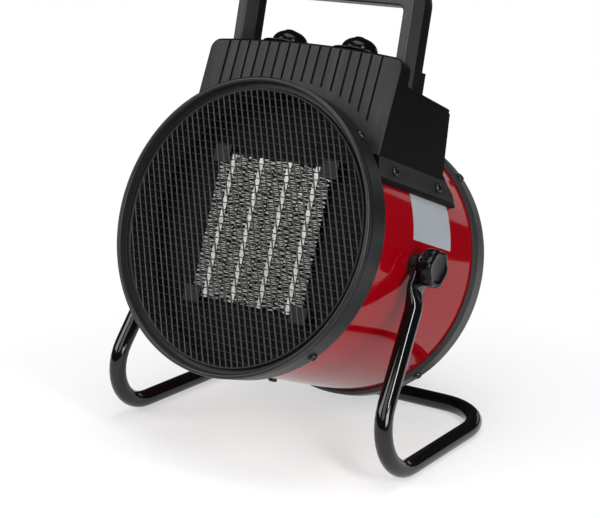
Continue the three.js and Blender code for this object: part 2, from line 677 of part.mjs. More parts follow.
function motorShaft() {
  return rod(SHAFT_RADIUS, FAN_FRONT + FAN_HUB_NOSE + CLEARANCE, MOTOR_FRONT + SHAFT_SEAT, 12);
}

function fanMotor() {
  const flangeFront = SPIDER_BACK - CLEARANCE - MOTOR_FLANGE_THICKNESS;
  const back = MOTOR_FRONT + MOTOR_LENGTH;
  const can = turn([
    point(0, MOTOR_FRONT),
    point(MOTOR_RADIUS - MOTOR_CHAMFER, MOTOR_FRONT),
    point(MOTOR_RADIUS, MOTOR_FRONT + MOTOR_CHAMFER),
    point(MOTOR_RADIUS, flangeFront),
    point(MOTOR_FLANGE_RADIUS, flangeFront),
    point(MOTOR_FLANGE_RADIUS, flangeFront + MOTOR_FLANGE_THICKNESS),
    point(MOTOR_RADIUS, flangeFront + MOTOR_FLANGE_THICKNESS),
    point(MOTOR_RADIUS, back - MOTOR_CHAMFER),
    point(MOTOR_RADIUS - MOTOR_CHAMFER, back),
    point(0, back),
  ], 24);
  const seat = rod(SHAFT_RADIUS + CLEARANCE, MOTOR_FRONT - 1, MOTOR_FRONT + SHAFT_SEAT + CLEARANCE, 12);
  return cut(can, seat);
}

// The spider: a ring round the motor, four arms out to the shell and a bent tab on each arm.
function motorSpider() {
  const reach = SHELL_BORE - CLEARANCE;
  const back = SPIDER_BACK + SPIDER_THICKNESS;
  const half = SPIDER_ARM_WIDTH / 2;
  const arms = join(
    box(-reach, reach, 0, DRUM_LENGTH, -half, half),
    box(-half, half, 0, DRUM_LENGTH, -reach, reach),
  );
  const cross = rod(reach, SPIDER_BACK, back, DRUM_SEGMENTS).intersect(arms);
  const ring = rod(SPIDER_RING_RADIUS, SPIDER_BACK, back, 30);
  const tabs = revolve([
    point(reach, SPIDER_BACK),
    point(reach, back + SPIDER_TAB_DEPTH),
    point(reach - SPIDER_THICKNESS, back + SPIDER_TAB_DEPTH),
    point(reach - SPIDER_THICKNESS, SPIDER_BACK),
  ], DRUM_SEGMENTS).intersect(arms);
  return cut(join(cross, ring, tabs), rod(MOTOR_RADIUS + CLEARANCE, 0, DRUM_LENGTH, 30));
}

// ---------------------------------------------------------------- control box

// The outline of the cover: upright sides, round shoulders and a gently arched top.
function coverOutline(inset) {
  const half = COVER_HALF_WIDTH - inset;
  const crown = COVER_CROWN - inset;
  const shoulder = COVER_SHOULDER - inset;
  const corner = COVER_CORNER - inset;
  const run = half - corner;
  const rise = crown - shoulder;
  const archRadius = (run * run + rise * rise) / (2 * rise);
  const archAngle = Math.asin(run / archRadius);
  const outline = new THREE.Shape();
  outline.moveTo(-half, 0);
  outline.lineTo(half, 0);
  outline.lineTo(half, shoulder - corner);
  outline.absarc(run, shoulder - corner, corner, 0, Math.PI / 2 - archAngle, false);
  outline.absarc(0, crown - archRadius, archRadius, Math.PI / 2 - archAngle, Math.PI / 2 + archAngle);
  outline.absarc(-run, shoulder - corner, corner, Math.PI / 2 + archAngle, Math.PI, false);
  outline.closePath();
  return outline;
}

// The ribbed front cover: a hollow moulding, open at the back, that straddles the front ring.
function frontCover() {
  const outside = extrudeBack(coverOutline(COVER_BEVEL), COVER_BEVEL, COVER_BACK, {
    bevelEnabled: true, bevelThickness: COVER_BEVEL, bevelSize: COVER_BEVEL, bevelSegments: 2,
  });
  const inside = extrudeBack(coverOutline(COVER_WALL), COVER_WALL, DRUM_LENGTH);
  const grooves = [];
  for (let i = 0; i < RIB_GROOVES; i += 1) {
    const x = (i - (RIB_GROOVES - 1) / 2) * RIB_PITCH;
    grooves.push(box(x - GROOVE_WIDTH / 2, x + GROOVE_WIDTH / 2, -1, GROOVE_DEPTH, 0, COVER_CROWN));
  }
  const ribbed = extrudeBack(coverOutline(RIB_TOP_MARGIN), -1, GROOVE_DEPTH);
  const leaned = (part) => part.translate([0, 0, -COVER_FOOT]).rotate([-COVER_LEAN, 0, 0])
    .translate([0, COVER_FRONT, COVER_FOOT]);
  const clear = rod(SEAT_RADIUS, -1, DRUM_LENGTH, DRUM_SEGMENTS);
  const band = rod(RIB_END_RADIUS, -1, DRUM_LENGTH, DRUM_SEGMENTS);
  const room = box(-RING_RADIUS, RING_RADIUS, 0, COVER_BACK, COVER_FOOT, 2 * RING_RADIUS);
  const block = leaned(outside).intersect(room);
  const pocket = cut(leaned(inside), rod(SEAT_RADIUS + COVER_WALL, -1, DRUM_LENGTH, DRUM_SEGMENTS));
  return cut(block, pocket, cut(leaned(join(...grooves).intersect(ribbed)), band), clear);
}

// A saddle screw's seat, square to the flared face at the screw's height, on one side.
function saddleSeat(side) {
  const slope = Math.asin((BOX_FOOT - SADDLE_SCREW_UP) / FLARE_RADIUS);
  const x = BOX_HALF_WIDTH + FLARE_RADIUS * (1 - Math.cos(slope));
  const angle = THREE.MathUtils.radToDeg(slope);
  return { x: side * x, z: SADDLE_SCREW_UP, angle: side > 0 ? angle : 180 - angle };
}

function saddleHoles() {
  return Object.values(SADDLE_SCREWS).flatMap((back) => (
    [-1, 1].map((side) => hole(saddleSeat(side), back))
  ));
}

// The outline of one side of the saddle: a flared skirt that comes down on to the drum.
function saddleOutline(side) {
  const angle = radians(SADDLE_REACH);
  const tipRadius = SEAT_RADIUS + BOX_WALL;
  const tip = point(tipRadius * Math.cos(angle), tipRadius * Math.sin(angle));
  const flare = new THREE.EllipseCurve(BOX_HALF_WIDTH + FLARE_RADIUS, BOX_FOOT,
    FLARE_RADIUS, FLARE_RADIUS, Math.PI, Math.PI + radians(FLARE_SWEEP), false);
  const outline = new THREE.Shape();
  outline.moveTo(side * (BOX_HALF_WIDTH - BOX_WALL), BOX_FOOT);
  for (const p of flare.getPoints(5)) outline.lineTo(side * p.x, p.y);
  outline.lineTo(side * tip.x, tip.y);
  outline.lineTo(side * SHELL_RADIUS * Math.cos(angle), SHELL_RADIUS * Math.sin(angle));
  outline.lineTo(side * (BOX_HALF_WIDTH - BOX_WALL), SHELL_RADIUS * Math.sin(angle));
  outline.closePath();
  return outline;
}

// The saddle seen from the side: its rear edge slants up from a round lower corner to the foot of
// the box's rear wall.
function saddlePlan(low) {
  const centre = point(SADDLE_REAR - SADDLE_CORNER, low + SADDLE_CORNER);
  const toFoot = point(BOX_REAR_FOOT, BOX_FOOT).sub(centre);
  const touch = toFoot.angle() - Math.acos(SADDLE_CORNER / toFoot.length());
  const outline = new THREE.Shape();
  outline.moveTo(0, low);
  outline.lineTo(centre.x, low);
  outline.absarc(centre.x, centre.y, SADDLE_CORNER, -Math.PI / 2, touch, false);
  outline.lineTo(BOX_REAR_FOOT, BOX_FOOT);
  outline.lineTo(0, BOX_FOOT);
  outline.closePath();
  return outline;
}

// The control box: side and rear walls, open above and below, with a flared saddle on each side.
function controlBox() {
  const low = SEAT_RADIUS * Math.sin(radians(SADDLE_REACH));
  const drop = (back) => (back - BOX_FRONT) * Math.tan(radians(PANEL_SLOPE));
  const under = PANEL_THICKNESS + CLEARANCE;
  const side = (inset) => {
    const outline = new THREE.Shape();
    outline.moveTo(BOX_FRONT - inset, 0);
    outline.lineTo(BOX_REAR_FOOT - inset, 0);
    outline.lineTo(BOX_REAR_FOOT - inset, COVER_FOOT);
    outline.lineTo(BOX_REAR_TOP - inset, BOX_TOP - under - drop(BOX_REAR_TOP) + inset);
    outline.lineTo(BOX_FRONT - inset, BOX_TOP - under + inset);
    outline.closePath();
    return outline;
  };
  const walls = cut(
    extrudeAcross(side(0), BOX_HALF_WIDTH),
    extrudeAcross(side(BOX_WALL), BOX_HALF_WIDTH - BOX_WALL),
  );
  const skirts = [-1, 1].map((hand) => {
    const skirt = extrudeBack(saddleOutline(hand), SADDLE_FRONT, SADDLE_REAR);
    return skirt.intersect(extrudeAcross(saddlePlan(low), RING_RADIUS));
  });
  const underCover = box(-RING_RADIUS, RING_RADIUS, 0, BOX_FRONT, COVER_FOOT - CLEARANCE, 2 * RING_RADIUS);
  const drum = rod(SEAT_RADIUS, -1, DRUM_LENGTH, DRUM_SEGMENTS);
  const above = box(-RING_RADIUS, RING_RADIUS, 0, DRUM_LENGTH, low, 2 * RING_RADIUS);
  const body = join(walls.intersect(above), ...skirts);
  return cut(body, drum, underCover, glandHole(), ...saddleHoles());
}

function glandHole() {
  return rod(GLAND_NECK_RADIUS + CLEARANCE, BOX_FRONT, DRUM_LENGTH, 20)
    .translate([GLAND_ACROSS, 0, GLAND_UP]);
}

// The cable gland: a threaded neck through the rear wall with a collar and a rounded nut.
function cableGland() {
  const wall = THREE.MathUtils.lerp(BOX_REAR_TOP, BOX_REAR_FOOT,
    (BOX_TOP - GLAND_UP) / (BOX_TOP - COVER_FOOT));
  const seat = wall + GLAND_TILT_ROOM;
  return revolve([
    point(GLAND_BORE_RADIUS, wall - GLAND_TAIL),
    point(GLAND_NECK_RADIUS, wall - GLAND_TAIL),
    point(GLAND_NECK_RADIUS, seat),
    point(GLAND_COLLAR_RADIUS, seat),
    point(GLAND_COLLAR_RADIUS, seat + GLAND_COLLAR),
    point(GLAND_NUT_RADIUS, seat + GLAND_COLLAR),
    point(GLAND_NUT_RADIUS, seat + GLAND_REACH - GLAND_ROUND),
    point(GLAND_NUT_RADIUS - GLAND_ROUND, seat + GLAND_REACH),
    point(GLAND_BORE_RADIUS, seat + GLAND_REACH),
  ], 20).translate([GLAND_ACROSS, 0, GLAND_UP]);
}

// ---------------------------------------------------------------- top panel, in its own axes

// The panel's axes start at its front edge: x across, y back along it, z out of its top face.

// One level of the hump: a rectangle with round corners, drawn in by its inset and its draft.
function humpRing(inset, height, draft) {
  const half = HUMP_HALF_WIDTH - inset - draft;
  const back = HUMP_DEPTH - inset - draft;
  const radius = HUMP_CORNER - inset;
  const centres = [[half, inset], [half, back], [-half, back], [-half, inset]];
  return centres.flatMap(([x, y], corner) => [0, 1, 2, 3].map((step) => {
    const angle = (corner - 1 + step / 3) * Math.PI / 2;
    const inward = [x - Math.sign(x) * radius, y + (y === inset ? radius : -radius)];
    return new THREE.Vector3(
      inward[0] + radius * Math.cos(angle), inward[1] + radius * Math.sin(angle), height,
    );
  }));
}

// The top panel: a flat tray with a raised hump in the middle that carries the two knobs. The
// hump has no front wall, because the cover closes it.
function controlPanel() {
  const plan = roundedRectangle(-BOX_HALF_WIDTH, BOX_HALF_WIDTH, 0, PANEL_DEPTH, PANEL_CORNER);
  const plate = solid(new THREE.ExtrudeGeometry(plan, {
    depth: PANEL_THICKNESS - PANEL_EDGE, bevelEnabled: true, bevelThickness: PANEL_EDGE,
    bevelSize: PANEL_EDGE, bevelOffset: -PANEL_EDGE, bevelSegments: 1, curveSegments: 3,
  }).translate(0, 0, -PANEL_THICKNESS));
  const flatUnderside = box(-RING_RADIUS, RING_RADIUS, -1, DRUM_LENGTH, -PANEL_THICKNESS, RING_RADIUS);
  const hump = loft([
    humpRing(0, -1, 0),
    humpRing(0, HUMP_HEIGHT - HUMP_EDGE, HUMP_DRAFT - HUMP_EDGE / 2),
    humpRing(HUMP_EDGE, HUMP_HEIGHT, HUMP_DRAFT),
  ]);
  const hollow = loft([
    humpRing(PANEL_THICKNESS, -RING_RADIUS, 0),
    humpRing(PANEL_THICKNESS, -1, 0),
    humpRing(PANEL_THICKNESS, HUMP_HEIGHT - PANEL_THICKNESS, HUMP_DRAFT),
  ]);
  const holes = [-1, 1].map((side) => (
    rod(SPINDLE_RADIUS + SPINDLE_ROOM, 0, HUMP_HEIGHT + 1, 12).rotate([90, 0, 0])
      .translate([side * KNOB_ACROSS, KNOB_BACK, 0])
  ));
  const wideOpen = HUMP_HALF_WIDTH - HUMP_CORNER;
  const openFront = box(-wideOpen, wideOpen, -1, HUMP_CORNER, -RING_RADIUS, HUMP_HEIGHT - PANEL_THICKNESS);
  return cut(join(plate.intersect(flatUnderside), hump), hollow, openFront, ...holes);
}

// A solid dome over the knob's grip, raised by a little for the pointer bar.
function gripDome(rise) {
  const height = KNOB_HEIGHT - KNOB_SKIRT_RISE + rise;
  const arc = new THREE.EllipseCurve(0, KNOB_SKIRT_RISE, KNOB_GRIP_RADIUS + rise, height, 0, Math.PI / 2);
  return turn([
    point(0, 0),
    point(KNOB_GRIP_RADIUS + rise, 0),
    ...arc.getPoints(5).slice(0, -1),
    point(0, KNOB_HEIGHT + rise),
  ], 20);
}

// A knob with a wide thin skirt, a domed grip with a raised pointer bar, and a bore underneath.
function controlKnob() {
  const skirt = turn([
    point(0, 0),
    point(KNOB_SKIRT_RADIUS, 0),
    point(KNOB_SKIRT_RADIUS, KNOB_SKIRT_EDGE),
    point(KNOB_GRIP_RADIUS, KNOB_SKIRT_RISE),
    point(0, KNOB_SKIRT_RISE),
  ], 20);
  const pointer = gripDome(POINTER_RISE).intersect(box(-POINTER_HALF_WIDTH, POINTER_HALF_WIDTH,
    KNOB_SKIRT_RISE, 2 * KNOB_HEIGHT, -KNOB_SKIRT_RADIUS, POINTER_TAIL));
  const bore = rod(SPINDLE_RADIUS + CLEARANCE, -1, KNOB_HEIGHT - KNOB_CROWN, 12);
  return cut(join(skirt, gripDome(0), pointer), bore).rotate([90, 0, 0])
    .translate([0, 0, HUMP_HEIGHT + CLEARANCE]);
}

// A spindle that runs up from its switch through the panel into the knob.
function spindle(switchTop) {
  const top = HUMP_HEIGHT + KNOB_HEIGHT - KNOB_CROWN;
  return rod(SPINDLE_RADIUS, switchTop - SPINDLE_SEAT, top, 12).rotate([90, 0, 0]);
}

// The rotary power switch under the hump, a square block with a round neck.
function powerSwitch() {
  const top = HUMP_HEIGHT - PANEL_THICKNESS - CLEARANCE;
  const half = SWITCH_SIZE / 2;
  const outline = roundedRectangle(-half, half, -BODY_FORWARD, SWITCH_SIZE - BODY_FORWARD,
    SWITCH_CORNER);
  const body = solid(new THREE.ExtrudeGeometry(outline, {
    depth: SWITCH_HEIGHT, bevelEnabled: false, curveSegments: 2,
  }).translate(0, 0, top - SWITCH_HEIGHT));
  return cut(body, spindleSocket(top));
}

// The capillary thermostat under the hump: a flat metal box with a shallow cup on one side.
function thermostatBody() {
  const top = HUMP_HEIGHT - PANEL_THICKNESS - CLEARANCE;
  const half = THERMOSTAT_WIDTH / 2;
  const rear = THERMOSTAT_DEPTH - BODY_FORWARD;
  const body = box(-half, half, -BODY_FORWARD, rear, top - THERMOSTAT_HEIGHT, top);
  const cup = rod(THERMOSTAT_CUP_RADIUS, -1, THERMOSTAT_CUP_DEPTH, 20).rotate([-90, 0, 0])
    .translate([0, rear - THERMOSTAT_DEPTH / 2, top - THERMOSTAT_HEIGHT]);
  return cut(join(body, cup), spindleSocket(top));
}

function spindleSocket(top) {
  return rod(SPINDLE_RADIUS + CLEARANCE, top - SPINDLE_SEAT - CLEARANCE, top + 1, 12)
    .rotate([90, 0, 0]);
}

// ---------------------------------------------------------------- handle, in its own axes

// The bow seen from the front: two legs and a bar with a round outside and inside corner.
function handleOutline(step, innerStep) {
  const half = HANDLE_HALF_WIDTH - step;
  const inner = HANDLE_HALF_WIDTH - HANDLE_LEG + innerStep;
  const top = HANDLE_RISE + HANDLE_BAR - step;
  const under = HANDLE_RISE + innerStep;
  const outer = HANDLE_OUTER_CORNER - step;
  const inside = HANDLE_INNER_CORNER;
  const outline = new THREE.Shape();
  outline.moveTo(half, 0);
  outline.lineTo(half, top - outer);
  outline.absarc(half - outer, top - outer, outer, 0, Math.PI / 2, false);
  outline.lineTo(-half + outer, top);
  outline.absarc(-half + outer, top - outer, outer, Math.PI / 2, Math.PI, false);
  outline.lineTo(-half, 0);
  outline.lineTo(-inner, 0);
  outline.lineTo(-inner, under - inside);
  outline.absarc(-inner + inside, under - inside, inside, Math.PI, Math.PI / 2, true);
  outline.lineTo(inner - inside, under);
  outline.absarc(inner - inside, under - inside, inside, Math.PI / 2, 0, true);
  outline.lineTo(inner, 0);
  outline.closePath();
  return outline;
}

// What stays of a leaning handle piece above the panel, with the panel level in these axes. The
// foot is drawn out downwards first, so that the lean leaves no gap under it.
function abovePanel(part) {
  const floor = box(-RING_RADIUS, RING_RADIUS, -RING_RADIUS, RING_RADIUS, CLEARANCE, 2 * RING_RADIUS);
  const feet = part.intersect(box(-RING_RADIUS, RING_RADIUS, -1, RING_RADIUS, 0, HANDLE_FOOT_HEIGHT));
  return join(part, feet.translate([0, 0, -HANDLE_FOOT_HEIGHT / 2])).rotate([HANDLE_LEAN, 0, 0])
    .translate([0, HANDLE_SETBACK, 0]).intersect(floor);
}

// The front half shell of the handle, with softened front edges.
function handleFrontShell() {
  const bow = extrudeBack(handleOutline(HANDLE_BEVEL, HANDLE_BEVEL), HANDLE_BEVEL, 2 * HANDLE_FRONT_DEPTH, {
    bevelEnabled: true, bevelThickness: HANDLE_BEVEL, bevelSize: HANDLE_BEVEL, bevelSegments: 1,
    curveSegments: 6,
  });
  const front = box(-RING_RADIUS, RING_RADIUS, -1, HANDLE_FRONT_DEPTH, 0, 2 * RING_RADIUS);
  return abovePanel(bow.intersect(front));
}

// The rear half shell, a step narrower, rounded at the back and with a thicker foot on each leg.
function handleRearShell() {
  const start = HANDLE_FRONT_DEPTH + CLEARANCE;
  const end = start + HANDLE_BACK_DEPTH;
  const outline = handleOutline(HANDLE_STEP + HANDLE_REAR_DRAW, HANDLE_INNER_STEP + HANDLE_REAR_DRAW);
  const bow = extrudeBack(outline, 0, end - HANDLE_REAR_ROUND, {
    bevelEnabled: true, bevelThickness: HANDLE_REAR_ROUND, bevelSize: HANDLE_REAR_DRAW,
    bevelSegments: 2, curveSegments: 6,
  });
  const rear = box(-RING_RADIUS, RING_RADIUS, start, end + 1, 0, 2 * RING_RADIUS);
  const feet = [-1, 1].map((side) => {
    const outer = side * (HANDLE_HALF_WIDTH - HANDLE_STEP);
    const inner = side * (HANDLE_HALF_WIDTH - HANDLE_LEG + HANDLE_INNER_STEP);
    return box(Math.min(outer, inner), Math.max(outer, inner), start, end + HANDLE_FOOT_STEP,
      0, HANDLE_FOOT_HEIGHT);
  });
  return abovePanel(join(bow.intersect(rear), ...feet));
}

// ---------------------------------------------------------------- stand and clamps

// The middle line of a bent tube: straight runs between corners, each corner an arc.
class BentLine extends THREE.Curve {
  constructor(corners, radii) {
    super();
    this.stations = [corners[0]];
    radii.forEach((radius, i) => {
      this.stations.push(...BentLine.bend(corners[i], corners[i + 1], corners[i + 2], radius));
    });
    this.stations.push(corners.at(-1));
  }

  // Points round the arc that rounds off the corner at b.
  static bend(a, b, c, radius) {
    const toA = a.clone().sub(b).normalize();
    const toC = c.clone().sub(b).normalize();
    const opening = toA.angleTo(toC);
    const start = b.clone().addScaledVector(toA, radius / Math.tan(opening / 2));
    const centre = toA.clone().add(toC).normalize().multiplyScalar(radius / Math.sin(opening / 2)).add(b);
    const spoke = start.clone().sub(centre);
    const axis = toC.clone().cross(toA).normalize();
    return Array.from({ length: BEND_STEPS + 1 }, (_, i) => (
      spoke.clone().applyAxisAngle(axis, (Math.PI - opening) * i / BEND_STEPS).add(centre)
    ));
  }

  get steps() {
    return this.stations.length - 1;
  }

  getPoint(share, target = new THREE.Vector3()) {
    return target.copy(this.stations[Math.round(share * this.steps)]);
  }

  getPointAt(share, target) {
    return this.getPoint(share, target);
  }

  getTangentAt(share, target = new THREE.Vector3()) {
    const i = Math.round(share * this.steps);
    const before = this.stations[Math.max(i - 1, 0)];
    const after = this.stations[Math.min(i + 1, this.steps)];
    const arriving = this.stations[i].clone().sub(before).normalize();
    const leaving = after.clone().sub(this.stations[i]).normalize();
    return target.copy(arriving).add(leaving).normalize();
  }
}

const frontCorner = new THREE.Vector3(FRONT_HALF_WIDTH, -LEG_REACH, TUBE_HEIGHT);
const rearCorner = new THREE.Vector3(REAR_HALF_WIDTH, RUNNER_BACK, TUBE_HEIGHT);
const eye = new THREE.Vector3(EYE_CENTRE, 0, PIVOT_HEIGHT);
const alongLeg = eye.clone().sub(frontCorner).normalize();
const legTop = eye.clone().addScaledVector(alongLeg, -EYE_LENGTH);
legTop.x = THREE.MathUtils.lerp(FRONT_HALF_WIDTH, EYE_CENTRE + EYE_SET, legTop.z / PIVOT_HEIGHT);

// One flattened leg end: the round tube is squeezed into a flat eye with a round nose.
function flattenedEnd() {
  const inLine = new THREE.Vector3(0, alongLeg.y, alongLeg.z).normalize();
  const crosswise = inLine.clone().cross(ACROSS).normalize();
  const ring = (centre, halfThickness, halfWidth, square) => (
    Array.from({ length: 12 }, (_, i) => {
      const angle = 2 * Math.PI * i / 12;
      const reach = (value) => Math.sign(value) * Math.abs(value) ** square;
      return centre.clone()
        .addScaledVector(ACROSS, halfThickness * reach(Math.cos(angle)))
        .addScaledVector(crosswise, halfWidth * reach(Math.sin(angle)));
    })
  );
  const at = (distance) => eye.clone().addScaledVector(inLine, distance);
  const half = EYE_THICKNESS / 2;
  const inside = legTop.clone().addScaledVector(alongLeg, -EYE_OVERLAP);
  const slim = TUBE_RADIUS * Math.cos(Math.PI / TUBE_SIDES) - TUBE_OVAL;
  return loft([
    ring(inside, slim, slim, 1),
    ring(legTop, TUBE_RADIUS - TUBE_OVAL, TUBE_RADIUS + TUBE_OVAL, 1),
    ring(at(-EYE_FLAT), half, EYE_HALF_WIDTH, EYE_SQUARENESS),
    ...[0.2, 0.75, 0.95].map((share) => (
      ring(at(share * EYE_NOSE), half, EYE_HALF_WIDTH * Math.sqrt(1 - share ** 2), EYE_SQUARENESS)
    )),
  ]);
}

// The stand: one tube bent into two legs, two runners and a rear crossbar, flat where it rests.
function standTube() {
  const mirror = (p) => new THREE.Vector3(-p.x, p.y, p.z);
  const half = [legTop, frontCorner, rearCorner];
  const corners = [...half, ...half.map(mirror).reverse()];
  const line = new BentLine(corners,
    [LEG_BEND_RADIUS, CORNER_BEND_RADIUS, CORNER_BEND_RADIUS, LEG_BEND_RADIUS]);
  const section = new THREE.Shape();
  for (let i = 0; i < TUBE_SIDES; i += 1) {
    const angle = 2 * Math.PI * (i + 0.5) / TUBE_SIDES;
    const corner = point(TUBE_RADIUS * Math.cos(angle), TUBE_RADIUS * Math.sin(angle));
    if (i === 0) section.moveTo(corner.x, corner.y);
    else section.lineTo(corner.x, corner.y);
  }
  section.closePath();
  const tube = solid(new THREE.ExtrudeGeometry(section, { steps: line.steps, extrudePath: line }));
  const rightEnd = flattenedEnd();
  const ends = [rightEnd, rightEnd.mirror([1, 0, 0])];
  const stud = rod(STUD_HOLE_RADIUS, -2 * RING_RADIUS, 2 * RING_RADIUS, 16)
    .rotate([0, 0, 90]).translate([0, 0, PIVOT_HEIGHT]);
  const reach = 2 * RING_RADIUS;
  const belowFloor = box(-reach, reach, -reach, reach, -TUBE_RADIUS, 0);
  return cut(join(tube, ...ends), stud, belowFloor);
}

// A bar along x with a given profile of (radius, x) points, in the pivot's place on the drum.
function turnAcross(profile, segments) {
  return turn(profile, segments).rotate([0, 0, -90]).translate([0, PIVOT_BACK, 0]);
}

const studHole = () => turnAcross([
  point(0, 0), point(STUD_HOLE_RADIUS, 0), point(STUD_HOLE_RADIUS, 2 * RING_RADIUS),
  point(0, 2 * RING_RADIUS),
], 16);

// The bush between the drum and the leg, hollowed where it sits on the shell.
function pivotBush() {
  const outside = turnAcross([
    point(0, SHELL_BORE),
    point(BUSH_RADIUS, SHELL_BORE),
    point(BUSH_RADIUS, EYE_INNER - CLEARANCE - BUSH_CHAMFER),
    point(BUSH_RADIUS - BUSH_CHAMFER, EYE_INNER - CLEARANCE),
    point(0, EYE_INNER - CLEARANCE),
  ], 20);
  return cut(outside, rod(SEAT_RADIUS, -1, DRUM_LENGTH, 2 * DRUM_SEGMENTS), studHole());
}

// The nut inside the shell that takes the clamp knob's stud.
function pivotNut() {
  const nut = turnAcross([
    point(0, NUT_INNER), point(NUT_RADIUS, NUT_INNER), point(NUT_RADIUS, NUT_OUTER),
    point(0, NUT_OUTER),
  ], 6);
  return cut(nut, studHole());
}

// The clamp knob: a lobed grip on a round boss, in one with the stud that runs into the nut.
function clampKnob() {
  const base = EYE_OUTER + CLEARANCE;
  const lobes = new THREE.Shape();
  const count = 6 * CLAMP_KNOB_LOBES;
  for (let i = 0; i <= count; i += 1) {
    const angle = 2 * Math.PI * i / count;
    const radius = CLAMP_KNOB_RADIUS - CLAMP_LOBE_DEPTH * (1 - Math.cos(CLAMP_KNOB_LOBES * angle)) / 2;
    if (i === 0) lobes.moveTo(radius, 0);
    else if (i < count) lobes.lineTo(radius * Math.cos(angle), radius * Math.sin(angle));
  }
  lobes.closePath();
  const grip = extrudeBack(lobes, 0, CLAMP_KNOB_DEPTH - CLAMP_BOSS_DEPTH)
    .rotate([0, 0, -90]).translate([base + CLAMP_BOSS_DEPTH, PIVOT_BACK, 0]);
  const stud = turnAcross([
    point(0, NUT_INNER - STUD_END),
    point(STUD_RADIUS, NUT_INNER - STUD_END),
    point(STUD_RADIUS, base),
    point(CLAMP_BOSS_RADIUS, base),
    point(CLAMP_BOSS_RADIUS, base + CLAMP_KNOB_DEPTH / 2),
    point(0, base + CLAMP_KNOB_DEPTH / 2),
  ], 16);
  return join(grip, stud);
}

// ---------------------------------------------------------------- assembly

const model = new THREE.Group();

// Drum axes: the lip's centre is the origin, and the whole drum is tilted about the pivot.
const tilting = new THREE.Group();
tilting.position.z = PIVOT_HEIGHT;
tilting.rotation.x = -radians(TILT);
model.add(tilting);

const drum = new THREE.Group();
drum.position.y = -PIVOT_BACK;
tilting.add(drum);

const panel = new THREE.Group();
panel.position.set(0, BOX_FRONT, BOX_TOP);
panel.rotation.x = -radians(PANEL_SLOPE);
drum.add(panel);

function add(group, name, made, finish) {
  const mesh = new THREE.Mesh(facets(made), finish);
  mesh.name = name;
  group.add(mesh);
  return mesh;
}

function addPair(group, name, made, finish) {
  add(group, `${name}_right`, made, finish());
  add(group, `${name}_left`, made.mirror([1, 0, 0]), finish());
}

function addDrum() {
  add(drum, 'front_ring', frontRing(), satinBlack());
  add(drum, 'front_grille', frontGrille(), wirePaint());
  add(drum, 'drum_shell', drumShell(), redPaint());
  add(drum, 'rear_ring', rearRing(), satinBlack());
  add(drum, 'rear_grille', rearGrille(), wirePaint());
  const ringWall = THREE.MathUtils.lerp(RING_RADIUS, RING_BACK_RADIUS, RING_SCREW_BACK / RING_DEPTH);
  for (const [place, angle] of Object.entries(RING_SCREW_ANGLES)) {
    const front = add(drum, `front_ring_screw_${place}`, screw(FRONT_SCREW_LENGTH), steel());
    placeScrew(front, radialSeat(ringWall, angle), RING_SCREW_BACK);
    const rear = add(drum, `rear_ring_screw_${place}`, screw(REAR_SCREW_LENGTH), steel());
    placeScrew(rear, radialSeat(REAR_RING_RADIUS, angle), REAR_SCREW_BACK);
  }
  const bottom = add(drum, 'bottom_screw', screw(BOTTOM_SCREW_LENGTH), steel());
  placeScrew(bottom, radialSeat(SHELL_RADIUS, 270), BOTTOM_SCREW_BACK);
}

function addElement() {
  for (let row = 0; row < ELEMENT_ROWS; row += 1) {
    const x = (row - (ELEMENT_ROWS - 1) / 2) * ROW_WIDTH;
    const step = BAR_WIDTH / 2 + CLEARANCE + FIN_WIDTH / 2;
    add(drum, `element_bar_${row + 1}`, elementBar(), aluminium()).position.x = x;
    add(drum, `fin_strip_${2 * row + 1}`, finStrip(), aluminium()).position.x = x - step;
    add(drum, `fin_strip_${2 * row + 2}`, finStrip(), aluminium()).position.x = x + step;
  }
  add(drum, 'element_plate', elementPlate(), satinBlack());
  const clip = elementClip();
  addPair(drum, 'element_clip_top', clip, palePlastic);
  addPair(drum, 'element_clip_bottom', clip.mirror([0, 0, 1]), palePlastic);
  add(drum, 'thermal_cutout', thermalCutout(), palePlastic()).position.z = CUTOUT_UP;
}

function addFan() {
  add(drum, 'fan', fan(), satinBlack());
  add(drum, 'motor_shaft', motorShaft(), steel());
  add(drum, 'fan_motor', fanMotor(), steel());
  add(drum, 'motor_spider', motorSpider(), steel());
}

function addControlBox() {
  add(drum, 'control_box', controlBox(), greyPlastic());
  add(drum, 'front_cover', frontCover(), greyPlastic());
  add(drum, 'cable_gland', cableGland(), satinBlack());
  for (const [place, back] of Object.entries(SADDLE_SCREWS)) {
    for (const [hand, side] of [['left', -1], ['right', 1]]) {
      const fixing = add(drum, `saddle_screw_${place}_${hand}`, screw(SADDLE_SCREW_LENGTH), steel());
      placeScrew(fixing, saddleSeat(side), back);
    }
  }
}

function addPanel() {
  add(panel, 'control_panel', controlPanel(), greyPlastic());
  add(panel, 'handle_front_shell', handleFrontShell(), satinBlack());
  add(panel, 'handle_rear_shell', handleRearShell(), satinBlack());
  const switchTop = HUMP_HEIGHT - PANEL_THICKNESS - CLEARANCE;
  const places = {
    power: { x: -KNOB_ACROSS, body: ['power_switch', powerSwitch(), palePlastic()] },
    thermostat: { x: KNOB_ACROSS, body: ['thermostat_body', thermostatBody(), steel()] },
  };
  for (const [name, { x, body }] of Object.entries(places)) {
    const post = new THREE.Group();
    post.position.set(x, KNOB_BACK, 0);
    panel.add(post);
    add(post, `${name}_knob`, controlKnob(), glossBlack());
    add(post, `${name}_spindle`, spindle(switchTop), steel());
    add(post, ...body);
  }
}

function addStand() {
  add(model, 'stand_tube', standTube(), glossBlack());
  addPair(drum, 'pivot_bush', pivotBush(), satinBlack);
  addPair(drum, 'pivot_nut', pivotNut(), steel);
  addPair(drum, 'clamp_knob', clampKnob(), glossBlack);
}

addDrum();
addElement();
addFan();
addControlBox();
addPanel();
addStand();

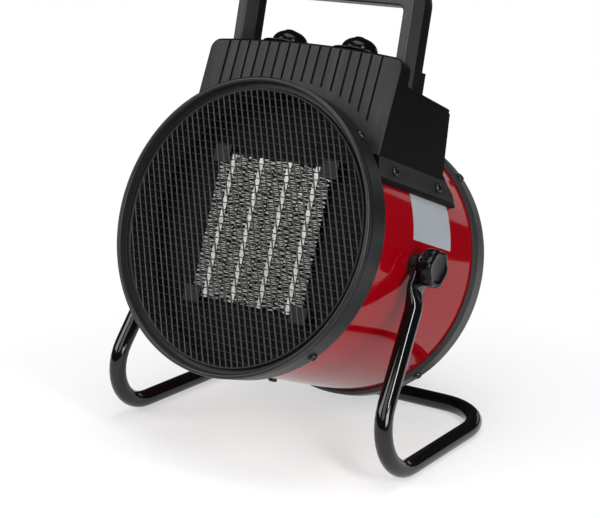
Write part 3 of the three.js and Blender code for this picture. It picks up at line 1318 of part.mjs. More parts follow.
// The floor stays at z = 0, and the middle of the whole heater comes over the origin.
model.updateMatrixWorld(true);
const middle = new THREE.Box3().setFromObject(model, true).getCenter(new THREE.Vector3());
model.position.set(-middle.x, -middle.y, 0);

export default model;
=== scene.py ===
import json
import math
import bmesh
import bpy
import numpy as np
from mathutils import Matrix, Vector


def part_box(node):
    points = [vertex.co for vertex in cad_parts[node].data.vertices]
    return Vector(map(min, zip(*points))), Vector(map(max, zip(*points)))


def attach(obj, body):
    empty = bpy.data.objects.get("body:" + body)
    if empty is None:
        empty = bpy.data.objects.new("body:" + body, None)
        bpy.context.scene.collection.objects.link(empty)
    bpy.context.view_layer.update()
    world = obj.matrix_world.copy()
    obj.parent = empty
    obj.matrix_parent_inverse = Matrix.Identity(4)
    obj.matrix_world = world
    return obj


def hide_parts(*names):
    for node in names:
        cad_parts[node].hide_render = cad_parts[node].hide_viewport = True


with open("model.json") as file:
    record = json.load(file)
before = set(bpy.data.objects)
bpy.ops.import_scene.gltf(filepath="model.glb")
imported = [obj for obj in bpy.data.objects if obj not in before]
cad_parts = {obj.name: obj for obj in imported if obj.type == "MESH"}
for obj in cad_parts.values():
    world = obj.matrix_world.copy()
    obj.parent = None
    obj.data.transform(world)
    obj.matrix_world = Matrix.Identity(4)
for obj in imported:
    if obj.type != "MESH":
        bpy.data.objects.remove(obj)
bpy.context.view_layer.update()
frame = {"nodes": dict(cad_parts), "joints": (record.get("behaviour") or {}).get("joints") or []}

# ------------------------------------------------------------------ camera
# The heater is seen from its front right and a little from above, through a long lens, so that
# the round front grille, the drum's right side and the top of the control box all show.

eye = bpy.data.cameras.new("eye")
eye.lens = 105
eye.sensor_width = 36
camera = bpy.data.objects.new("camera", eye)
camera.location = (0.6716, -0.9523, 0.4455)
looking_down, from_the_right = 15.637, 35.344
camera.rotation_euler = (math.radians(90 - looking_down), 0, math.radians(from_the_right))
bpy.context.scene.collection.objects.link(camera)
bpy.context.scene.camera = camera
bpy.context.scene.view_settings.view_transform = "Standard"

# ------------------------------------------------------------------ studio
# A pale floor before a white backdrop, under a dark room with soft lamps: the key from the front
# left, weaker ones from the front, the right and above, a narrow strip for the streaks on the tube,
# and a low one behind. The drum mirrors the floor's right end and, as a bright patch, the low lamp.


def node_adder(tree):
    """A function that adds a node of a type to a tree, with the given inputs and settings."""
    def node(kind, **values):
        made = tree.nodes.new(kind)
        for key, value in values.items():
            if key in made.inputs:
                made.inputs[key].default_value = value
            else:
                setattr(made, key, value)
        return made
    return node


def shader_tree(owner):
    """The emptied node tree of a material or world, and the function that adds nodes to it."""
    owner.use_nodes = True
    owner.node_tree.nodes.clear()
    return owner.node_tree, node_adder(owner.node_tree)


floor_left, floor_right, floor_depth, floor_gap = -0.85, 0.43, 0.85, 0.0004
# Between these two distances from its middle, the floor turns white. Under the heater it keeps this
# share of its own light, and so of the heater's shadow.
white_from, white_to, shadow_share = 0.12, 0.3, 0.5
# Below this slope, metal and glass mirror the white backdrop.
backdrop_edge = -0.35

floor_look = bpy.data.materials.new("pale_floor")
tree, node = shader_tree(floor_look)
place = node("ShaderNodeTexCoord")
reach = node("ShaderNodeVectorMath", operation="LENGTH")
fade = node("ShaderNodeMapRange")
fade.inputs["From Min"].default_value = white_from
fade.inputs["From Max"].default_value = white_to
fade.inputs["To Min"].default_value = 1 - shadow_share
matt = node("ShaderNodeBsdfDiffuse", Color=(0.93, 0.93, 0.93, 1))
glow = node("ShaderNodeEmission", Color=(1, 1, 1, 1), Strength=1.0)
path = node("ShaderNodeLightPath")
seen = node("ShaderNodeMath", operation="MAXIMUM")
seen_too = node("ShaderNodeMath", operation="MAXIMUM")
both = node("ShaderNodeMath", operation="MULTIPLY")
mix = node("ShaderNodeMixShader")
out = node("ShaderNodeOutputMaterial")
for a, b in (
    (place.outputs["Object"], reach.inputs[0]), (reach.outputs["Value"], fade.inputs["Value"]),
    (path.outputs["Is Camera Ray"], seen.inputs[0]),
    (path.outputs["Is Glossy Ray"], seen.inputs[1]),
    (path.outputs["Is Transmission Ray"], seen_too.inputs[1]),
    (seen.outputs[0], seen_too.inputs[0]), (seen_too.outputs[0], both.inputs[0]),
    (fade.outputs["Result"], both.inputs[1]),
    (both.outputs[0], mix.inputs[0]), (matt.outputs[0], mix.inputs[1]),
    (glow.outputs[0], mix.inputs[2]), (mix.outputs[0], out.inputs["Surface"]),
):
    tree.links.new(a, b)

floor_mesh = bpy.data.meshes.new("floor")
floor_mesh.from_pydata(
    [(floor_left, -floor_depth, 0), (floor_right, -floor_depth, 0), (floor_right, floor_depth, 0),
     (floor_left, floor_depth, 0)], [], [(0, 1, 2, 3)])
floor_mesh.materials.append(floor_look)
floor = bpy.data.objects.new("floor", floor_mesh)
floor.location.z = -floor_gap
bpy.context.scene.collection.objects.link(floor)

world = bpy.data.worlds.new("studio")
bpy.context.scene.world = world
tree, node = shader_tree(world)
place = node("ShaderNodeTexCoord")
parts = node("ShaderNodeSeparateXYZ")
low = node("ShaderNodeMath", operation="LESS_THAN")
low.inputs[1].default_value = backdrop_edge
path = node("ShaderNodeLightPath")
mirrored = node("ShaderNodeMath", operation="MAXIMUM")
below = node("ShaderNodeMath", operation="MULTIPLY")
seen = node("ShaderNodeMath", operation="MAXIMUM")
room = node("ShaderNodeBackground", Color=(0.03, 0.03, 0.031, 1))
white = node("ShaderNodeBackground", Color=(1, 1, 1, 1))
mix = node("ShaderNodeMixShader")
out = node("ShaderNodeOutputWorld")
for a, b in (
    (place.outputs["Generated"], parts.inputs[0]), (parts.outputs["Z"], low.inputs[0]),
    (path.outputs["Is Glossy Ray"], mirrored.inputs[0]),
    (path.outputs["Is Transmission Ray"], mirrored.inputs[1]),
    (mirrored.outputs[0], below.inputs[0]), (low.outputs[0], below.inputs[1]),
    (path.outputs["Is Camera Ray"], seen.inputs[0]), (below.outputs[0], seen.inputs[1]),
    (seen.outputs[0], mix.inputs[0]), (room.outputs[0], mix.inputs[1]),
    (white.outputs[0], mix.inputs[2]), (mix.outputs[0], out.inputs["Surface"]),
):
    tree.links.new(a, b)

# Each lamp's name, place and aim, its width and height in metres, and its power in watts.
lamps = [
    ("key", (-0.72, -1.0, 0.85), (0, 0, 0.17), 0.9, 0.9, 12.0),
    ("front", (0.45, -1.25, 0.8), (0, 0, 0.12), 0.8, 0.8, 4.0),
    ("side", (1.2, -0.45, 0.25), (0, 0, 0.15), 0.6, 0.4, 8.0),
    ("overhead", (0.05, 0.05, 1.35), (0, 0, 0), 0.9, 0.9, 10.0),
    ("strip", (0.9, -0.46, 0.78), (0.108, -0.055, 0.07), 0.11, 0.6, 6.0),
    ("behind", (0.11, 1.25, 0.28), (0.08, 0, 0.15), 0.64, 0.16, 0.24),
]
for name, at, aim, wide, tall, power in lamps:
    light = bpy.data.lights.new(name, "AREA")
    light.shape = "RECTANGLE"
    light.size = wide
    light.size_y = tall
    light.energy = power
    lamp = bpy.data.objects.new(name, light)
    lamp.location = at
    towards = Vector(aim) - Vector(at)
    lamp.rotation_euler = towards.to_track_quat("-Z", "Y").to_euler()
    bpy.context.scene.collection.objects.link(lamp)

# ------------------------------------------------------------------ drum shell
# The body of the heater is a tube rolled from sheet steel, enamelled a glossy deep red outside, so
# that it mirrors the pale floor and the dark room, and dull black inside. The two rings slip over
# its ends.

tilt_joint = next(j for j in frame["joints"] if j["name"] == "tilt")
fan_joint = next(j for j in frame["joints"] if j["name"] == "fan_spin")
pivot = np.array(tilt_joint["pos_m"])
pivot_back = 72.0
# The drum's own directions: across, back and up.
drum_axes = np.array([[1.0, 0.0, 0.0], fan_joint["axis"],
                      np.cross([1.0, 0.0, 0.0], fan_joint["axis"])])


def in_drum(points):
    """Millimetres across, back from the lip and up from the centre line, as metres in the frame:
    the pivot plus the distances from it along the drum's own directions."""
    return pivot + (np.asarray(points, float) - (0, pivot_back, 0)) @ drum_axes / 1000


def grid_faces(rows, columns, first=0, round_rows=False, round_columns=True):
    """Four-sided faces over a grid that may close on itself in either direction. The vertex in row
    r and column c has the number first + r * columns + c."""
    r, c = np.meshgrid(np.arange(rows - (not round_rows)),
                       np.arange(columns - (not round_columns)), indexing="ij")
    r2, c2 = (r + 1) % rows, (c + 1) % columns
    corners = (r * columns + c, r * columns + c2, r2 * columns + c2, r2 * columns + c)
    return (first + np.stack(corners, -1).reshape(-1, 4)).tolist()


def finished(name, mesh, look, body, instead_of, sharp):
    """Makes a mesh a piece on its body, smooth but for edges sharper than so many degrees."""
    mesh.materials.clear()
    mesh.materials.append(look)
    mesh.shade_smooth()
    mesh.set_sharp_from_angle(angle=math.radians(sharp))
    piece = bpy.data.objects.new(name, mesh)
    bpy.context.scene.collection.objects.link(piece)
    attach(piece, body)
    if instead_of:
        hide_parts(*instead_of)
    return piece


def new_piece(name, points, faces, look, body, instead_of=(), sharp=35):
    """One piece from vertices in metres. The sum of a . (b x c) over its faces' triangles a, b, c
    is six times its volume. Where that is below zero, the faces point inwards and are turned."""
    points = np.asarray(points, float).reshape(-1, 3)
    volume = sum(
        np.einsum("ij,ij->", points[ring[:, 0]],
                  np.cross(points[ring[:, k]], points[ring[:, k + 1]]))
        for n in {len(f) for f in faces}
        for ring in [np.array([f for f in faces if len(f) == n])]
        for k in range(1, n - 1))
    if volume < 0:
        faces = [f[::-1] for f in faces]
    mesh = bpy.data.meshes.new(name)
    mesh.from_pydata(points.tolist(), [], faces)
    work = bmesh.new()
    work.from_mesh(mesh)
    bmesh.ops.remove_doubles(work, verts=work.verts, dist=1e-6)
    work.to_mesh(mesh)
    work.free()
    return finished(name, mesh, look, body, instead_of, sharp)


def paint_faces(piece, which, *looks):
    """Adds finishes to a piece: each face's number in which says which one it has, 0 the first."""
    for look in looks:
        piece.data.materials.append(look)
    piece.data.polygons.foreach_set("material_index", which.astype(np.int32))


def rounded(corners, radii, steps=5):
    """An outline whose corners are arcs that touch both sides: an arc's centre lies on the corner's
    bisector, at radius / sin(half the corner's angle)."""
    corners = np.asarray(corners, float)
    before, after = np.roll(corners, 1, 0) - corners, np.roll(corners, -1, 0) - corners
    before /= np.linalg.norm(before, axis=1, keepdims=True)
    after /= np.linalg.norm(after, axis=1, keepdims=True)
    opening = np.arccos(np.clip((before * after).sum(1), -1, 1))
    radii = np.maximum(np.asarray(radii, float), 1e-4)
    bisector = before + after
    bisector /= np.linalg.norm(bisector, axis=1, keepdims=True)
    centres = corners + bisector * (radii / np.sin(opening / 2))[:, None]
    sweep = (math.pi - opening)[:, None] * (np.linspace(-0.5, 0.5, steps))
    side = np.sign(before[:, 0] * after[:, 1] - before[:, 1] * after[:, 0])
    turn = sweep * side[:, None]
    spoke = -bisector * radii[:, None]
    x = spoke[:, :1] * np.cos(turn) + spoke[:, 1:] * np.sin(turn)
    y = -spoke[:, :1] * np.sin(turn) + spoke[:, 1:] * np.cos(turn)
    return (centres[:, None, :] + np.stack([x, y], -1)).reshape(-1, 2)


def steadied(profile, margin=0.4):
    """Adds a point at the margin from both ends of each straight that is longer than four margins,
    so that smooth shading bends the light only at its ends."""
    start = np.asarray(profile, float)
    along = np.roll(start, -1, 0) - start
    span = np.linalg.norm(along, axis=1)
    inset = along * (margin / span)[:, None]
    with_extra = np.stack([start, start + inset, start + along - inset], 1)
    wanted = np.stack([span > 0, span > 4 * margin, span > 4 * margin], 1)
    return with_extra[wanted]


def revolved(profile, segments=256):
    """Rings about the drum's centre line: each profile point (radius, back) makes the circle
    radius * cos(angle), back, radius * sin(angle)."""
    radius, back = np.asarray(profile, float).T[:, :, None]
    angle = np.linspace(0, 2 * math.pi, segments, endpoint=False)[None]
    flat = np.zeros_like(angle)
    return np.stack([radius * np.cos(angle), back + flat, radius * np.sin(angle)], -1)


# Every painted, moulded or drawn surface has a fine grain and a faint unevenness, which this group
# makes from object coordinates: a colour and a roughness times 1 + Mottle * (cloud - 0.5), and a
# height for the grain. Stretch packs the clouds closer along each axis.
finish = bpy.data.node_groups.new("surface_finish", "ShaderNodeTree")
for name, kind in (("Colour", "NodeSocketColor"), ("Mottle", "NodeSocketFloat"),
                   ("Roughness", "NodeSocketFloat"), ("Grain Scale", "NodeSocketFloat"),
                   ("Stretch", "NodeSocketVector")):
    finish.interface.new_socket(name, in_out="INPUT", socket_type=kind)
for name, kind in (("Colour", "NodeSocketColor"), ("Roughness", "NodeSocketFloat"),
                   ("Height", "NodeSocketFloat")):
    finish.interface.new_socket(name, in_out="OUTPUT", socket_type=kind)
node = node_adder(finish)
inside, result = node("NodeGroupInput"), node("NodeGroupOutput")
place = node("ShaderNodeTexCoord")
stretched = node("ShaderNodeVectorMath", operation="MULTIPLY")
cloud = node("ShaderNodeTexNoise", Scale=28, Detail=4)
grain = node("ShaderNodeTexNoise", Detail=2)
swing = node("ShaderNodeMath", operation="SUBTRACT")
swing.inputs[1].default_value = 0.5
amount = node("ShaderNodeMath", operation="MULTIPLY")
factor = node("ShaderNodeMath", operation="ADD")
factor.inputs[1].default_value = 1.0
shade = node("ShaderNodeVectorMath", operation="SCALE")
rough = node("ShaderNodeMath", operation="MULTIPLY")
for a, b in (
    (place.outputs["Object"], stretched.inputs[0]),
    (inside.outputs["Stretch"], stretched.inputs[1]),
    (stretched.outputs[0], cloud.inputs["Vector"]),
    (place.outputs["Object"], grain.inputs["Vector"]),
    (inside.outputs["Grain Scale"], grain.inputs["Scale"]),
    (cloud.outputs["Fac"], swing.inputs[0]), (swing.outputs[0], amount.inputs[0]),
    (inside.outputs["Mottle"], amount.inputs[1]), (amount.outputs[0], factor.inputs[0]),
    (inside.outputs["Colour"], shade.inputs[0]), (factor.outputs[0], shade.inputs["Scale"]),
    (shade.outputs[0], result.inputs["Colour"]),
    (inside.outputs["Roughness"], rough.inputs[0]), (factor.outputs[0], rough.inputs[1]),
    (rough.outputs[0], result.inputs["Roughness"]),
    (grain.outputs["Fac"], result.inputs["Height"]),
):
    finish.links.new(a, b)


def surface(name, colour, roughness, mottle=0.2, grain_scale=1500, grain_depth=0.00002,
            metallic=0.0, specular=0.5, stretch=(1, 1, 1)):
    """A material for one finish; the colour is linear red, green and blue."""
    look = bpy.data.materials.new(name)
    tree, node = shader_tree(look)
    base = node("ShaderNodeBsdfPrincipled", Metallic=metallic)
    base.inputs["Specular IOR Level"].default_value = specular
    own = node("ShaderNodeGroup", node_tree=finish)
    for key, value in (("Colour", (*colour, 1)), ("Mottle", mottle), ("Roughness", roughness),
                       ("Grain Scale", grain_scale), ("Stretch", stretch)):
        own.inputs[key].default_value = value
    bump = node("ShaderNodeBump", Distance=grain_depth, Strength=1.0)
    out = node("ShaderNodeOutputMaterial")
    tree.links.new(own.outputs["Colour"], base.inputs["Base Color"])
    tree.links.new(own.outputs["Roughness"], base.inputs["Roughness"])
    tree.links.new(own.outputs["Height"], bump.inputs["Height"])
    tree.links.new(bump.outputs[0], base.inputs["Normal"])
    tree.links.new(base.outputs[0], out.inputs["Surface"])
    return look


shell_front, shell_back, shell_radius, shell_wall, shell_edge = 9.3, 161.6, 94.0, 1.0, 0.3
red_enamel = surface("red_enamel", (0.235, 0.0007, 0.0042), 0.06, mottle=0.1, grain_scale=120,
                     grain_depth=0.00001, specular=0.25)
# Dull black paint for the drum's inside; the rings also use it as painted shade in their recess and
# gap.
black_inside_and_painted_shade = surface("shell_inside", (0.006, 0.006, 0.006), 0.6, mottle=0.3)
shell_inside = shell_radius - shell_wall
profile = steadied(rounded([
    (shell_radius, shell_front), (shell_radius, shell_back), (shell_inside, shell_back),
    (shell_inside, shell_front)], [shell_edge] * 4, steps=3))
shell = revolved(profile)
drum = new_piece("drum_enamel", in_drum(shell), grid_faces(*shell.shape[:2], round_rows=True),
                 red_enamel, "heater", ["drum_shell"])
outer = profile[:, 0] > shell_radius - shell_wall / 2
inner = ~(outer & np.roll(outer, -1))
paint_faces(drum, np.repeat(inner, shell.shape[1]), black_inside_and_painted_shade)

# ------------------------------------------------------------------ front ring
# A deep pressed steel ring, powder coated satin black, slips over the front of the shell. Its lip
# is rolled to a bead that catches the light, helped by a lighter, glossier copy of the coat painted
# on it as a highlight, with a shallow groove behind it. Inside the bead a recess, painted black as
# painted shade, ends in the ledge that the grille sits on.

ring_black = surface("ring_powder_coat", (0.008, 0.0085, 0.0098), 0.36, mottle=0.35,
                     grain_scale=2600, grain_depth=0.00006, specular=0.16)
lip_painted_highlight = surface("lip_powder_coat", (0.01, 0.0104, 0.0115), 0.32, mottle=0.35,
                    grain_scale=2600, grain_depth=0.00006, specular=0.3)
bead_middle, bead_radius = 98.3, 1.7
bead = [(bead_middle + bead_radius * math.cos(a), bead_radius - bead_radius * math.sin(a))
        for a in np.linspace(math.pi, 0, 13)]
# The wall's profile (radius, back): over the groove to the back end, and inside to the ledge.
wall = [(99.95, 2.6), (99.55, 3.6), (99.5, 4.4), (99.8, 5.4), (98.75, 22.4), (98.4, 22.95),
        (97.8, 23.0), (94.35, 23.0), (94.35, 9.1), (94.2, 9.0), (91.8, 9.0), (91.6, 8.8),
        (91.6, 7.5), (91.8, 7.3), (96.2, 7.3), (96.6, 6.9)]
recess_radius, recess_back, lip_back = 96.61, 10.0, 1.8
profile = steadied(bead + wall)
ring = revolved(profile)
front_ring = new_piece("front_ring_coat", in_drum(ring),
                       grid_faces(*ring.shape[:2], round_rows=True), ring_black, "heater",
                       ["front_ring"])
# The recess's faces take the black finish as painted shade; the bead's take the lip coat, a painted
# highlight.
recess = (profile[:, 0] < recess_radius) & (profile[:, 1] < recess_back)
recess = recess & np.roll(recess, -1)
lip = np.roll(profile[:, 1], -1) < lip_back
paint_faces(front_ring, np.repeat(np.where(lip & ~recess, 2, recess), ring.shape[1]),
            black_inside_and_painted_shade, lip_painted_highlight)

# ------------------------------------------------------------------ rear ring
# A shorter pressed steel band over the back end of the shell, held by four screws and painted a
# worn satin grey-black. Its back edge is rounded. Its front edge tapers to the drum and is painted
# black there, as the painted shadow of the gap between ring and drum.

rear_grey = surface("rear_ring_coat", (0.042, 0.044, 0.042), 0.42, mottle=1.3, grain_scale=1800,
                    grain_depth=0.00008, specular=0.35, stretch=(7, 7, 7))
gap_shadow_back, gap_shadow_inside = 154.9, 94.6
profile = steadied(rounded([
    (95.2, 151.0), (97.0, 154.2), (97.0, 166.0), (89.5, 166.0), (89.5, 163.8), (94.3, 163.8),
    (94.3, 151.0)], [0.3, 1.5, 2.6, 0.6, 0.4, 0.2, 0.2]))
ring = revolved(profile)
rear_ring = new_piece("rear_ring_coat", in_drum(ring),
                      grid_faces(*ring.shape[:2], round_rows=True), rear_grey, "heater",
                      ["rear_ring"])
# The front edge's faces take the black finish: a painted shadow for the gap at the drum.
gap_shadow = (profile[:, 1] < gap_shadow_back) & (profile[:, 0] > gap_shadow_inside)
paint_faces(rear_ring, np.repeat(gap_shadow & np.roll(gap_shadow, -1), ring.shape[1]), black_inside_and_painted_shade)

# ------------------------------------------------------------------ front grille
# A welded net of thin round wires inside a round wire rim that sits on the ring's ledge. The wires
# in front lean to the left at their tops. The level wires behind them are thinner, and they and the
# rim take a darker copy of the wire paint, as painted shade.

wire_paint = surface("wire_paint", (0.021, 0.021, 0.022), 0.3, mottle=0.6, grain_scale=900,
                     grain_depth=0.00004, specular=0.35)
back_wire_paint = surface("back_wire_paint", (0.008, 0.008, 0.0085), 0.4, mottle=0.6,
                          grain_scale=900, grain_depth=0.00004, specular=0.2)
net_radius, wire_sides = 92.2, 8
rim_radius, rim_wire, rim_back, rim_steps, rim_sides = 92.5, 1.1, 6.2, 160, 10
# For the front wires and the level ones: how far they are turned from upright, their pitch, their
# place behind the lip and the radius of the wire.
wire_rows = [(math.radians(21.3), 4.45, 5.8, 0.55), (math.radians(90), 4.8, 6.6, 0.32)]
circle = np.arange(wire_sides) * 2 * math.pi / wire_sides


def net_wires(turned, pitch, back, wire_radius):
    """Parallel round wires at a pitch, turned from upright: along each, the half length to the rim
    is sqrt(radius^2 - offset^2). Two rings of points for each wire."""
    half_count = int(net_radius / pitch)
    offset = np.arange(-half_count, half_count + 1) * pitch
    half = np.sqrt(net_radius ** 2 - offset ** 2)
    run = np.array([-1.0, 1.0])[None, :, None] * half[:, None, None]
    side = offset[:, None, None] + wire_radius * np.cos(circle)[None, None]
    deep = back + wire_radius * np.sin(circle)[None, None]
    run, side, deep = np.broadcast_arrays(run, side, deep)
    return np.stack([side * math.cos(turned) - run * math.sin(turned), deep,
                     side * math.sin(turned) + run * math.cos(turned)], -1)


def tube_faces(rows, columns, first=0):
    """The faces of a tube made of rings of points, with a flat cap on each end."""
    last = first + (rows - 1) * columns
    return grid_faces(rows, columns, first) + [
        list(range(first, first + columns))[::-1], list(range(last, last + columns))]


points, faces, first = [], [], 0
for turned, pitch, back, wire_radius in wire_rows:
    shaded_from = len(faces)
    for rings in net_wires(turned, pitch, back, wire_radius):
        points.append(rings.reshape(-1, 3))
        faces += tube_faces(2, wire_sides, first)
        first += 2 * wire_sides
# The rim is a ring of round wire: (radius + wire * cos(thick)) turned about the drum's centre line.
around = np.linspace(0, 2 * math.pi, rim_steps, endpoint=False)[:, None]
thick = np.linspace(0, 2 * math.pi, rim_sides, endpoint=False)[None]
rim = np.stack([(rim_radius + rim_wire * np.cos(thick)) * np.cos(around),
                rim_back + rim_wire * np.sin(thick) + 0 * around,
                (rim_radius + rim_wire * np.cos(thick)) * np.sin(around)], -1)
points.append(rim.reshape(-1, 3))
faces += grid_faces(rim_steps, rim_sides, first, round_rows=True)
net = new_piece("front_net", in_drum(np.concatenate(points)), faces, wire_paint, "heater",
                ["front_grille"], sharp=60)
# The level wires and the rim get the darker copy of the wire paint: painted shade.
paint_faces(net, np.arange(len(faces)) >= shaded_from, back_wire_paint)

# ------------------------------------------------------------------ heating element
# Ceramic stones sit in four bright aluminium bars. Thin aluminium strip, folded to a fine zigzag,
# is brazed to both sides of each bar. Its faces are painted near black as painted shade in the
# folds, and its front edges bright as a painted highlight, so that it glitters through the net.
# Dark clips hold the corners.

fin_painted_highlight = surface("fin_edge", (0.38, 0.372, 0.345), 0.5, mottle=2.2, grain_scale=700,
                         grain_depth=0.0002, metallic=1.0, stretch=(7, 7, 7))
fin_aluminium = surface("fin_aluminium", (0.022, 0.0215, 0.02), 0.35, mottle=1.2, grain_scale=700,
                        grain_depth=0.00008, metallic=1.0)
bar_aluminium = surface("bar_aluminium", (0.42, 0.415, 0.395), 0.45, mottle=2.4, grain_scale=420,
                        grain_depth=0.0002, metallic=1.0, stretch=(5, 5, 5))
element_height, fold_pitch, strip_thickness = 98.6, 2.9, 0.5
strip_front, strip_back, points_per_fold, overswing, unevenness = 28.1, 40.2, 10, 1.25, 0.9
fold_count = int(element_height / fold_pitch)
along = np.linspace(0, 1, fold_count * points_per_fold + 1)
# A strip swings across its gap as overswing * sin(phase), cut off at 1 and -1, so that its folds
# lie flat on the bars. Two slow waves in the phase make the folds uneven, each strip's differently.
for number in range(1, 9):
    left, right = (corner[0] * 1000 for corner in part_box(f"fin_strip_{number}"))
    middle, half_swing = (left + right) / 2, (right - left - strip_thickness) / 2
    waves = 0.5 * np.sin(along * 41 + number * 2.1) + 0.35 * np.sin(along * 97 + number)
    phase = 2 * math.pi * fold_count * along + unevenness * waves
    across = middle + half_swing * np.clip(overswing * np.sin(phase), -1, 1)
    height = (along - 0.5) * (element_height - strip_thickness)
    slope = np.stack([np.gradient(across), np.gradient(height)], -1)
    slope /= np.linalg.norm(slope, axis=1, keepdims=True)
    offset = np.stack([-slope[:, 1], slope[:, 0]], -1) * strip_thickness / 2
    sides = [(offset, strip_front), (-offset, strip_front), (-offset, strip_back),
             (offset, strip_back)]
    strip = np.stack([np.stack([np.clip(across + move[:, 0], left, right),
                                np.full_like(across, back), height + move[:, 1]], -1)
                      for move, back in sides], 1)
    faces = tube_faces(len(strip), len(sides))
    folded = new_piece(f"folded_strip_{number}", in_drum(strip), faces, fin_aluminium, "heater",
                       [f"fin_strip_{number}"], sharp=50)
    # The strip's front edge faces take the bright finish, a painted highlight.
    paint_faces(folded, np.arange(len(faces)) % len(sides) == 0, fin_painted_highlight)

plate_black = surface("baffle_plate", (0.0025, 0.0025, 0.0027), 0.6, mottle=0.3, grain_scale=900,
                      grain_depth=0.00005, specular=0.1)
clip_grey = surface("clip_plastic", (0.009, 0.009, 0.0094), 0.5, grain_scale=1500, specular=0.3)


def dress(look, *names):
    """Gives CAD pieces whose shape is already right their finish."""
    for name in names:
        frame["nodes"][name].material_slots[0].material = look


dress(bar_aluminium, *[f"element_bar_{n}" for n in range(1, 5)])
dress(plate_black, "element_plate")
dress(clip_grey, *[f"element_clip_{end}_{side}" for end in ("top", "bottom")
                   for side in ("left", "right")])
dress(surface("ceramic_capsule", (0.7, 0.67, 0.6), 0.5), "thermal_cutout")

# ------------------------------------------------------------------ fan, motor and rear grille
# The fan is dark moulded plastic on the motor's shaft, and the motor hangs in the shell on a zinc
# plated spider. The rear grille is pressed sheet with rows of slots, painted black.

zinc = surface("zinc_plate", (0.5, 0.5, 0.52), 0.35, mottle=0.4, grain_scale=600, metallic=1.0)
dress(surface("fan_plastic", (0.03, 0.03, 0.032), 0.45), "fan")
dress(zinc, "motor_shaft", "fan_motor", "motor_spider", "pivot_nut_left", "pivot_nut_right")
dress(surface("rear_grille_paint", (0.02, 0.02, 0.021), 0.4, mottle=0.3), "rear_grille")

# ------------------------------------------------------------------ stand
# One steel tube, bent to two legs, two runners and a rear crossbar and painted gloss black. Each
# leg's end is pressed flat to an eye for the clamp, and the tube is flat where it rests.

gloss_black = surface("stand_gloss", (0.0025, 0.0025, 0.003), 0.09, mottle=0.2, grain_scale=90,
                      grain_depth=0.00001, specular=0.5)
tube_radius, floor_flat, tube_sides = 6.0, 0.4, 32
eye_x, eye_half_thickness, eye_half_width, eye_length, eye_flat = 101.4, 2.3, 9.2, 30.0, 16.0
front_x, front_reach, front_bend = 114.7, 91.4, 31.7
rear_x, rear_reach, rear_bend = 109.4, 86.9, 41.0
leg_set_out, bend_steps, blend_steps, eye_squareness, nose_end = 2.0, 14, 6, 0.55, 0.05
pivot_mm = pivot * 1000
tube_height = tube_radius - floor_flat
eye_at = np.array([eye_x, pivot_mm[1], pivot_mm[2]])
front_corner = np.array([front_x, pivot_mm[1] - front_reach, tube_height])
rear_corner = np.array([rear_x, pivot_mm[1] + rear_reach, tube_height])


def bend(a, b, c, radius):
    """Points round the arc that rounds off the corner at b on the way from a to c: t of its sweep
    along, (sin(sweep - t) * first spoke + sin(t) * last spoke) / sin(sweep) from its centre."""
    to_a, to_c = (a - b) / np.linalg.norm(a - b), (c - b) / np.linalg.norm(c - b)
    half = math.acos(float(to_a @ to_c)) / 2
    centre = b + (to_a + to_c) / np.linalg.norm(to_a + to_c) * radius / math.sin(half)
    spoke = b + to_a * radius / math.tan(half) - centre
    other = b + to_c * radius / math.tan(half) - centre
    sweep = math.pi - 2 * half
    t = np.linspace(0, sweep, bend_steps)[:, None]
    return centre + (np.sin(sweep - t) * spoke + np.sin(t) * other) / math.sin(sweep)


# The tube's middle line: the round nose and the flat of the eye, the leg it widens into, the front
# bend, the rear bend and the crossbar's middle. The left half is its mirror.
leg = eye_at - front_corner
in_line = np.array([0, leg[1], leg[2]]) / np.linalg.norm(leg[1:])
leg_top = eye_at - leg / np.linalg.norm(leg) * eye_length
leg_top[0] = front_x - (front_x - eye_x - leg_set_out) * leg_top[2] / pivot_mm[2]
nose = eye_half_width * np.sin(np.linspace(math.radians(86), 0, 9))
eye_rows = eye_at + np.concatenate([nose, np.linspace(-2, -eye_flat, 4)])[:, None] * in_line
blend_rows = np.linspace(eye_rows[-1], leg_top, blend_steps + 1)[1:]
crossbar_middle = np.array([0, rear_corner[1], tube_height])
path = np.concatenate([
    eye_rows, blend_rows, bend(leg_top, front_corner, rear_corner, front_bend),
    bend(front_corner, rear_corner, crossbar_middle, rear_bend), crossbar_middle[None]])
leg_from = len(eye_rows) + blend_steps
tangent = np.gradient(path, axis=0)
tangent[-1] = (-1, 0, 0)
tangent /= np.linalg.norm(tangent, axis=1, keepdims=True)
sideways = np.array([1.0, 0, 0]) - tangent * tangent[:, :1]
outwards = np.cross(tangent, [0, 0, 1.0])
on_floor = (np.arange(len(path)) >= leg_from + bend_steps)[:, None]
sideways = np.where(on_floor, outwards, sideways)
sideways /= np.linalg.norm(sideways, axis=1, keepdims=True)
upwards = np.cross(tangent, sideways)
# The eye is pressed flat, and its flatness f fades down the leg as 3 f^2 - 2 f^3. Each ring of the
# tube is thickness * cos^power across and width * sin^power along. Power 1 is round, and a lower
# one gives the eye its flat faces. The nose's width is sqrt(half width^2 - distance^2).
flatness = np.concatenate([np.ones(len(eye_rows)), np.linspace(1, 0, blend_steps + 1)[1:],
                           np.zeros(len(path) - leg_from)])
flatness = flatness * flatness * (3 - 2 * flatness)
width = tube_radius + (eye_half_width - tube_radius) * flatness
width[:len(nose)] = np.sqrt(np.maximum(eye_half_width ** 2 - nose ** 2, nose_end))
thickness = tube_radius + (eye_half_thickness - tube_radius) * flatness
angle = np.linspace(0, 2 * math.pi, tube_sides, endpoint=False)[None]
power = (1 - eye_squareness * flatness)[:, None]
bulge_x = np.sign(np.cos(angle)) * np.abs(np.cos(angle)) ** power
bulge_y = np.sign(np.sin(angle)) * np.abs(np.sin(angle)) ** power
right = (path[:, None] + sideways[:, None] * (thickness[:, None] * bulge_x)[..., None]
         + upwards[:, None] * (width[:, None] * bulge_y)[..., None])
